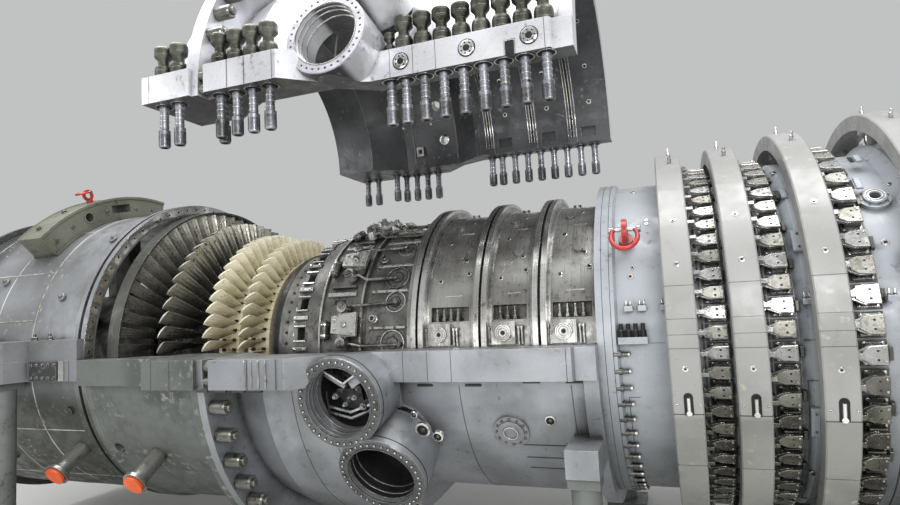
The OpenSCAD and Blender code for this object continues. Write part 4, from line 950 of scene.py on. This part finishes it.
def make_burner_cell(shape, angle):
    """What repeats once round each burner bracket."""
    plate = radial(angle, -0.44, HUB_R + BRACKET_UP)
    for x, y in ((-0.11, -0.05), (-0.11, 0.05), (0.11, -0.09), (0.11, 0.09)):
        shape.bolt(plate @ shift(x, y, 0), 0.014, 2)
    shape.lathe(plate, [(0.034, 0), (0.034, 0.02), (0.022, 0.024), (0.022, 0.04)], 16, 2)
    for side in SIDES:
        a = angle + side * 7.9
        boss = radial(a, -0.48, HUB_R + BOSS_UP)
        shape.lathe(boss, [(0.045, 0), (0.045, 0.02), (0.03, 0.026), (0.03, 0.05), (0.018, 0.054)], 16, 3)
        start = radial(a, -0.48, HUB_R + 0.1) @ Vector((0.05, 0, 0))
        bend = radial(a, -0.36, HUB_R + 0.12).translation
        drop = radial(a + side * rng.uniform(0.6, 2.0), -0.28, HUB_R + 0.06).translation
        end = radial(a + side * rng.uniform(0.6, 2.4), rng.uniform(0.05, 0.24), HUB_R + 0.045).translation
        shape.rod([start, bend, drop, end], 0.017, 8, 5)
        shape.lathe(Matrix.Translation(end) @ radial(a, 0, 0).to_3x3().to_4x4(),
                    [(0.028, -0.05), (0.028, 0.02), (0.02, 0.03)], 12, 4)
    left = radial(angle + rng.uniform(-2, 2), -0.74, HUB_R + 0.01)
    tank = left @ spin(90, "X")
    shape.lathe(tank @ shift(0, 0.035, -0.11),
                [(0.03, 0), (0.046, 0.014), (0.046, 0.2), (0.03, 0.214), (0.012, 0.214), (0.012, 0.24)],
                16, 3)
    for dz in (-0.07, 0.05):
        shape.tube(tank @ shift(0, 0.035, dz), 0.045, 0.051, 0, 0.016, 16, 2)
    middle = angle + 15
    shape.block(radial(middle, -0.58, HUB_R - 0.004), 0.36, 0.05, 0.03, 0.006, 0)
    shape.block(radial(middle + 3.4, -0.56, HUB_R - 0.004), 0.3, 0.022, 0.05, 0.004, 3)
    shape.block(radial(middle - 3.6, -0.6, HUB_R - 0.004), 0.14, 0.05, 0.007, 0.001, 1)
    for dx in (-0.14, 0.0, 0.14):
        shape.bolt(radial(middle, -0.58 + dx, HUB_R + 0.026), 0.013, 2)
    for a, x, r in ((middle - 5, 0.1, 0.105), (middle + 7, 0.08, 0.125)):
        spot = radial(a, x, HUB_R + 0.012)
        ring_outline(shape, spot, r)
        shape.lathe(spot, [(r * 0.93, -0.01), (r * 0.93, 0.002), (r * 0.5, 0.002), (r * 0.5, 0.012)], 28, 3)
        ring_outline(shape, spot, r * 0.44, 1)
        for px, py in circle(r * 0.72, 6, rng.uniform(0, 1)):
            shape.bolt(spot @ shift(px, py, 0.002), 0.009, 4)
    for a in (middle, middle + 13.5):
        shape.block(radial(a, 0.05, HUB_R + 0.006), 0.48, 0.032, 0.036, 0.005, 0)
        for dx in (-0.19, -0.06, 0.07, 0.2):
            shape.bolt(radial(a, 0.05 + dx, HUB_R + 0.042), 0.011, 4)
    fitting = radial(angle + 2.5, -0.14, HUB_R + 0.01)
    shape.lathe(fitting, [(0.05, -0.01), (0.05, 0.03), (0.036, 0.036), (0.036, 0.07), (0.024, 0.07),
                          (0.024, 0.06)], 20, 2)
    shape.lathe(fitting, [(0.02, 0.05), (0.02, 0.066), (0.016, 0.067)], 14, 1)


# Lower middle casing: bosses, cover bolts, seams and the marks of its flange


def make_lower_details():
    shape = Shape("lower_casing_details", "stator", "middle_lower", "dark", "bright", "bolt", "seam")
    for near in (True, False):
        def spot(angle, x, r):
            return radial(angle if near else 180 - angle, x, r)

        side = -1 if near else 1
        facing = "near" if near else "far"
        for angle, x, r, size in LOWER_BOSSES:
            place = spot(angle, x, r)
            wide = size * 1.35
            shape.hollow(place, [(size, -0.03), (wide, -0.03), (wide, 0.008), (size, 0.012)], 28, 2)
            # Painted shade: the dark floor of each boss's hole.
            shape.lathe(place, [(size * 0.98, -0.03), (size * 0.98, 0.001), (size * 0.9, 0.002)], 24, 1)
            shape.lathe(place, [(size * 0.4, 0), (size * 0.4, 0.006), (size * 0.34, 0.008)], 14, 3)
        edge = side * HALF_W_TURBINE
        middle = AXIS - FLANGE_T / 2
        for x in (-1.5, -1.28, -1.06, -0.86):
            place = at(x, edge - side * 0.02, AXIS - FLANGE_T - 0.022)
            shape.block(place, 0.14, 0.03, 0.026, 0.006, 4)
        for x in SEAM_X_RIGHT:
            shape.block(at(x, side * HALF_W_FRONT, middle, facing), 0.005, FLANGE_T, 0.001, 0, 4)
        for x in (-2.14, -1.9, -1.585, -0.95, -0.62):
            shape.block(at(x, edge, middle, facing), 0.006, FLANGE_T, 0.001, 0, 4)
        for x in (-0.98, -0.9, -0.82, -0.74):
            place = at(x, edge - side * 0.004, middle, facing)
            shape.block(place, 0.018, FLANGE_T - 0.03, 0.006, 0.002, 2)
        cover = spot(-28.0, COVER_X, ARCH_R + 0.14)
        for px, py in circle(0.147, 12):
            shape.bolt(cover @ shift(px, py, 0), 0.013, 3, washer=False)
        ring_outline(shape, cover @ shift(0, 0, 0.016), 0.06)
        for x in (0.55, 1.05, 1.62, 2.02):
            angle = -12 if x < 1.5 else -11
            shape.block(spot(angle, x, FRONT_R), 0.16, 0.02, 0.02, 0.004, 4)
        for angle in (-34, -40, -46):
            shape.block(spot(angle, 1.7, FRONT_R + 0.002), 0.5, 0.012, 0.008, 0.002, 4)
    for r0, r1, low, places in ((BELT_R - 0.02, BELT_R + 0.002, 10, (-0.75, -0.35)),
                                (FRONT_R - 0.01, FRONT_R + 0.0075, 12, (0.9, 1.98))):
        for x in places:
            shape.band(r0, r1, x, x + 0.006, low - 180, -low, 64, 4)
    shape.finish()


# Exhaust end: weld lines, plugs, bolted plates, seams and rim bolts; the bows of the red shackles


def make_exhaust_details():
    shape = Shape("exhaust_details", "stator", "exhaust", "dark", "chalk", "bolt", "bright", "plate_dark")
    r = EXHAUST_R
    for x in (-6.15, -5.26, -4.56, -3.84):
        for start, end in ((7, 173), (-173, -7)):
            shape.band(r - 0.01, r + 0.004, x - 0.007, x + 0.007, start, end, 64, 2)
    for angle in (14, 33, 57, 118, 150, -26, -52, -78, -110, -150):
        shape.band(r - 0.01, r + 0.004, -6.1, -4.6 if angle > 0 else -3.9, angle - 0.16, angle + 0.16, 1, 2)
    for angle, x in EXHAUST_PLUGS:
        for a in (angle, 180 - angle):
            place = radial(a, x, r)
            shape.lathe(place, [(0.05, -0.01), (0.05, 0.03), (0.042, 0.036), (0.025, 0.036), (0.025, 0.05)])
            shape.prism(place, circle(0.018, 6), 0.05, 0.064, 0.002, 3)
    for side, facing in ((-1, "near"), (1, "far")):
        z = AXIS - FLANGE_T_EXHAUST / 2
        face = side * HALF_W_EXHAUST
        shape.block(at(-4.11, face, z, facing), 0.46, FLANGE_T_EXHAUST - 0.02, 0.022, 0.004, 5)
        for px in (-0.19, -0.095, 0, 0.095, 0.19):
            for py in (-0.075, 0.075):
                shape.bolt(at(-4.11 + px, face, z, facing) @ shift(0, py, 0.022), 0.016, 3)
        shape.block(at(-3.82, face, z, facing), 0.085, FLANGE_T_EXHAUST - 0.01, 0.012, 0.002, 4)
        for x in (-6.0, -5.6, -5.2, -3.7):
            shape.block(at(x, face, z, facing), 0.006, FLANGE_T_EXHAUST, 0.001, 0, 1)
        for k in range(9):
            x = -6.2 + 0.26 * k
            if -5.1 < x < -4.4:
                continue
            shape.bolt(at(x, side * (HALF_W_EXHAUST - 0.08), AXIS + FLANGE_T_EXHAUST), 0.034, 3)
            shape.lathe(at(x, side * (HALF_W_EXHAUST - 0.08), AXIS + FLANGE_T_EXHAUST + 0.03),
                        [(0.018, 0), (0.018, 0.05), (0.013, 0.055)], 12, 3)
    for k in range(48):
        spot = radial(7.5 * k + 3.75, X_RIM - 0.11, RIM_R - 0.022) @ spin(-90, "Y")
        shape.bolt(spot @ shift(0, 0, 0.062), 0.017, 3)
    shape.band(1.955, RIM_R - 0.004, X_RIM, X_RIM + 0.004, 0.5, 179.5, 96, 4)
    for k in range(36):
        # Painted shade: small dark discs for the holes in the rim face.
        shape.lathe(radial(5 * k + 2.5, X_RIM + 0.003, 2.01) @ spin(90, "Y"),
                    [(0.014, 0), (0.014, 0.003), (0.01, 0.004)], 12, 1)
    shape.finish()


def make_shackles():
    """The bows of the red shackles, hanging in the lifting eyes."""
    shape = Shape("shackle_bows", "stator", "red", "bright")
    eyes = ((69, SADDLE_X, EXHAUST_R + 0.33, 0.13), (34, RING_X[0] - 0.42, CASE_R, 0.19),
            (146, RING_X[0] - 0.42, CASE_R, 0.19))
    for angle, x, r, size in eyes:
        place = radial(angle, x, r + size * 0.85)
        low = 1 if angle > 90 else -1
        loop = []
        for k in range(15):
            a = math.radians(-35 + 250 * k / 14)
            loop.append(place @ Vector((size * 0.62 * math.cos(a), low * size * (0.55 + 0.72 * math.sin(a)),
                                        size * 0.34)))
        shape.rod(loop, size * 0.11, 12)
        pin = place @ shift(-size * 0.72, low * size * 0.1, size * 0.3)
        profile = [(0.16, 0), (0.16, 0.2), (0.1, 0.22), (0.1, 1.3), (0.18, 1.32), (0.18, 1.48)]
        shape.lathe(pin @ spin(90, "Y"), [(size * r, size * z) for r, z in profile], 14, 1)
    shape.finish()


def make_saddle_details():
    shape = Shape("saddle_details", "stator", "saddle", "dark", "bolt")
    outer = EXHAUST_R + 0.33
    for dx in (-0.21, 0.21):
        shape.band(outer - 0.03, outer + 0.006, SADDLE_X + dx - 0.012, SADDLE_X + dx + 0.012, 42, 98, 40)
        shape.band(EXHAUST_R, EXHAUST_R + 0.03, SADDLE_X + dx - 0.02, SADDLE_X + dx + 0.02, 42, 98, 40)
        for angle in (46, 54, 70, 84, 92):
            outward = spin(90 if dx > 0 else -90, "Y")
            shape.bolt(radial(angle, SADDLE_X + dx, EXHAUST_R + 0.165) @ outward, 0.022, 2)
        place = radial(62, SADDLE_X + dx, EXHAUST_R + 0.165) @ spin(90, "Y")
        shape.tube(place, 0.065, 0.085, -0.008, 0.008, 28)
    for angle in (47, 58, 88, 94):
        shape.bolt(radial(angle, SADDLE_X, outer), 0.03, 2)
    shape.finish()


# Rotor: dark pockets and lines between the roots of the blades, as painted shade


def make_rotor_details():
    shape = Shape("rotor_details", "rotor", "dark")
    for row, x in enumerate(ROW_X):
        for k in range(BLADES_N):
            angle = 360 * k / BLADES_N
            for dx in (-0.075, 0.075):
                shape.block(radial(angle, x + dx, PLATFORM_R - 0.001), 0.06, 0.04, 0.003, 0.001)
            shape.block(radial(angle, x, PLATFORM_R - 0.001), 0.29, 0.006, 0.002, 0)
    shape.finish()


PARTS = (make_port_rings, make_stud_collars, make_flange_details, make_lifted_inside, make_ring_details,
         make_compressor_details, make_carrier_details, make_burner_details, make_lower_details,
         make_exhaust_details, make_shackles, make_saddle_details, make_rotor_details)
for make in PARTS:
    make()
for row in range(4):
    make_lever_details(row)

# Camera at the photograph's angle, studio light, floor

CAMERA_PLACE = (2.9, -7.216, 2.936)
CAMERA_TURN = (20.02, 4.83, -2.92)  # yaw, pitch and roll in degrees
CAMERA_LENS = 24.008
SKY, SKY_STRENGTH = srgb(226, 228, 228), 0.7
LAMPS = (  # name, place, target, width, height, power
    ("top_light", (-0.5, -2.5, 12.5), (-0.5, 0, 2.5), 18, 5, 1950),
    ("front_light", (7.0, -12.0, 6.5), (1.0, 0, 2.8), 6, 4, 700),
    ("left_light", (-9.0, -8.0, 6.0), (-2.5, 0, 3.6), 4, 5, 150),
    ("low_fill", (-1.0, -14.0, 3.6), (-0.8, 0, 1.6), 7, 3, 300),
)
FLOOR_HALF = 80


def make_camera():
    yaw, pitch, roll = (math.radians(a) for a in CAMERA_TURN)
    ahead = Vector((-math.sin(yaw) * math.cos(pitch), math.cos(yaw) * math.cos(pitch), math.sin(pitch)))
    level = Vector((math.cos(yaw), math.sin(yaw), 0))
    above = level.cross(ahead)
    right = level * math.cos(roll) + above * math.sin(roll)
    up = above * math.cos(roll) - level * math.sin(roll)
    camera = bpy.data.objects.new("camera", bpy.data.cameras.new("camera"))
    camera.data.lens = CAMERA_LENS
    camera.data.sensor_width = 36
    camera.data.clip_end = 300
    turn = Matrix((right, up, -ahead)).transposed().to_4x4()
    camera.matrix_world = shift(*CAMERA_PLACE) @ turn
    bpy.context.scene.collection.objects.link(camera)
    bpy.context.scene.camera = camera


def make_lamp(name, place, target, width, height, power):
    data = bpy.data.lights.new(name, "AREA")
    data.shape = "RECTANGLE"
    data.size, data.size_y, data.energy = width, height, power
    lamp = bpy.data.objects.new(name, data)
    lamp.location = place
    lamp.rotation_euler = (Vector(target) - Vector(place)).to_track_quat("-Z", "Y").to_euler()
    bpy.context.scene.collection.objects.link(lamp)


def make_studio():
    scene = bpy.context.scene
    scene.view_settings.view_transform = "Standard"
    world = bpy.data.worlds.new("studio")
    world.use_nodes = True
    back = world.node_tree.nodes["Background"]
    back.inputs["Color"].default_value = SKY
    back.inputs["Strength"].default_value = SKY_STRENGTH
    scene.world = world
    for lamp in LAMPS:
        make_lamp(*lamp)
    mesh = bpy.data.meshes.new("floor")
    corners = [(x * FLOOR_HALF, y * FLOOR_HALF, 0) for x, y in ((-1, -1), (1, -1), (1, 1), (-1, 1))]
    mesh.from_pydata(corners, [], [[0, 1, 2, 3]])
    floor = bpy.data.objects.new("floor", mesh)
    look = Look("pale_floor")
    tone = look.mix(look.noise(0.7, 3.0), srgb(214, 214, 210), srgb(205, 205, 202))
    look.feed(look.shader.inputs["Base Color"], tone)
    look.shader.inputs["Roughness"].default_value = 0.6
    mesh.materials.append(look.material)
    scene.collection.objects.link(floor)


make_camera()
make_studio()
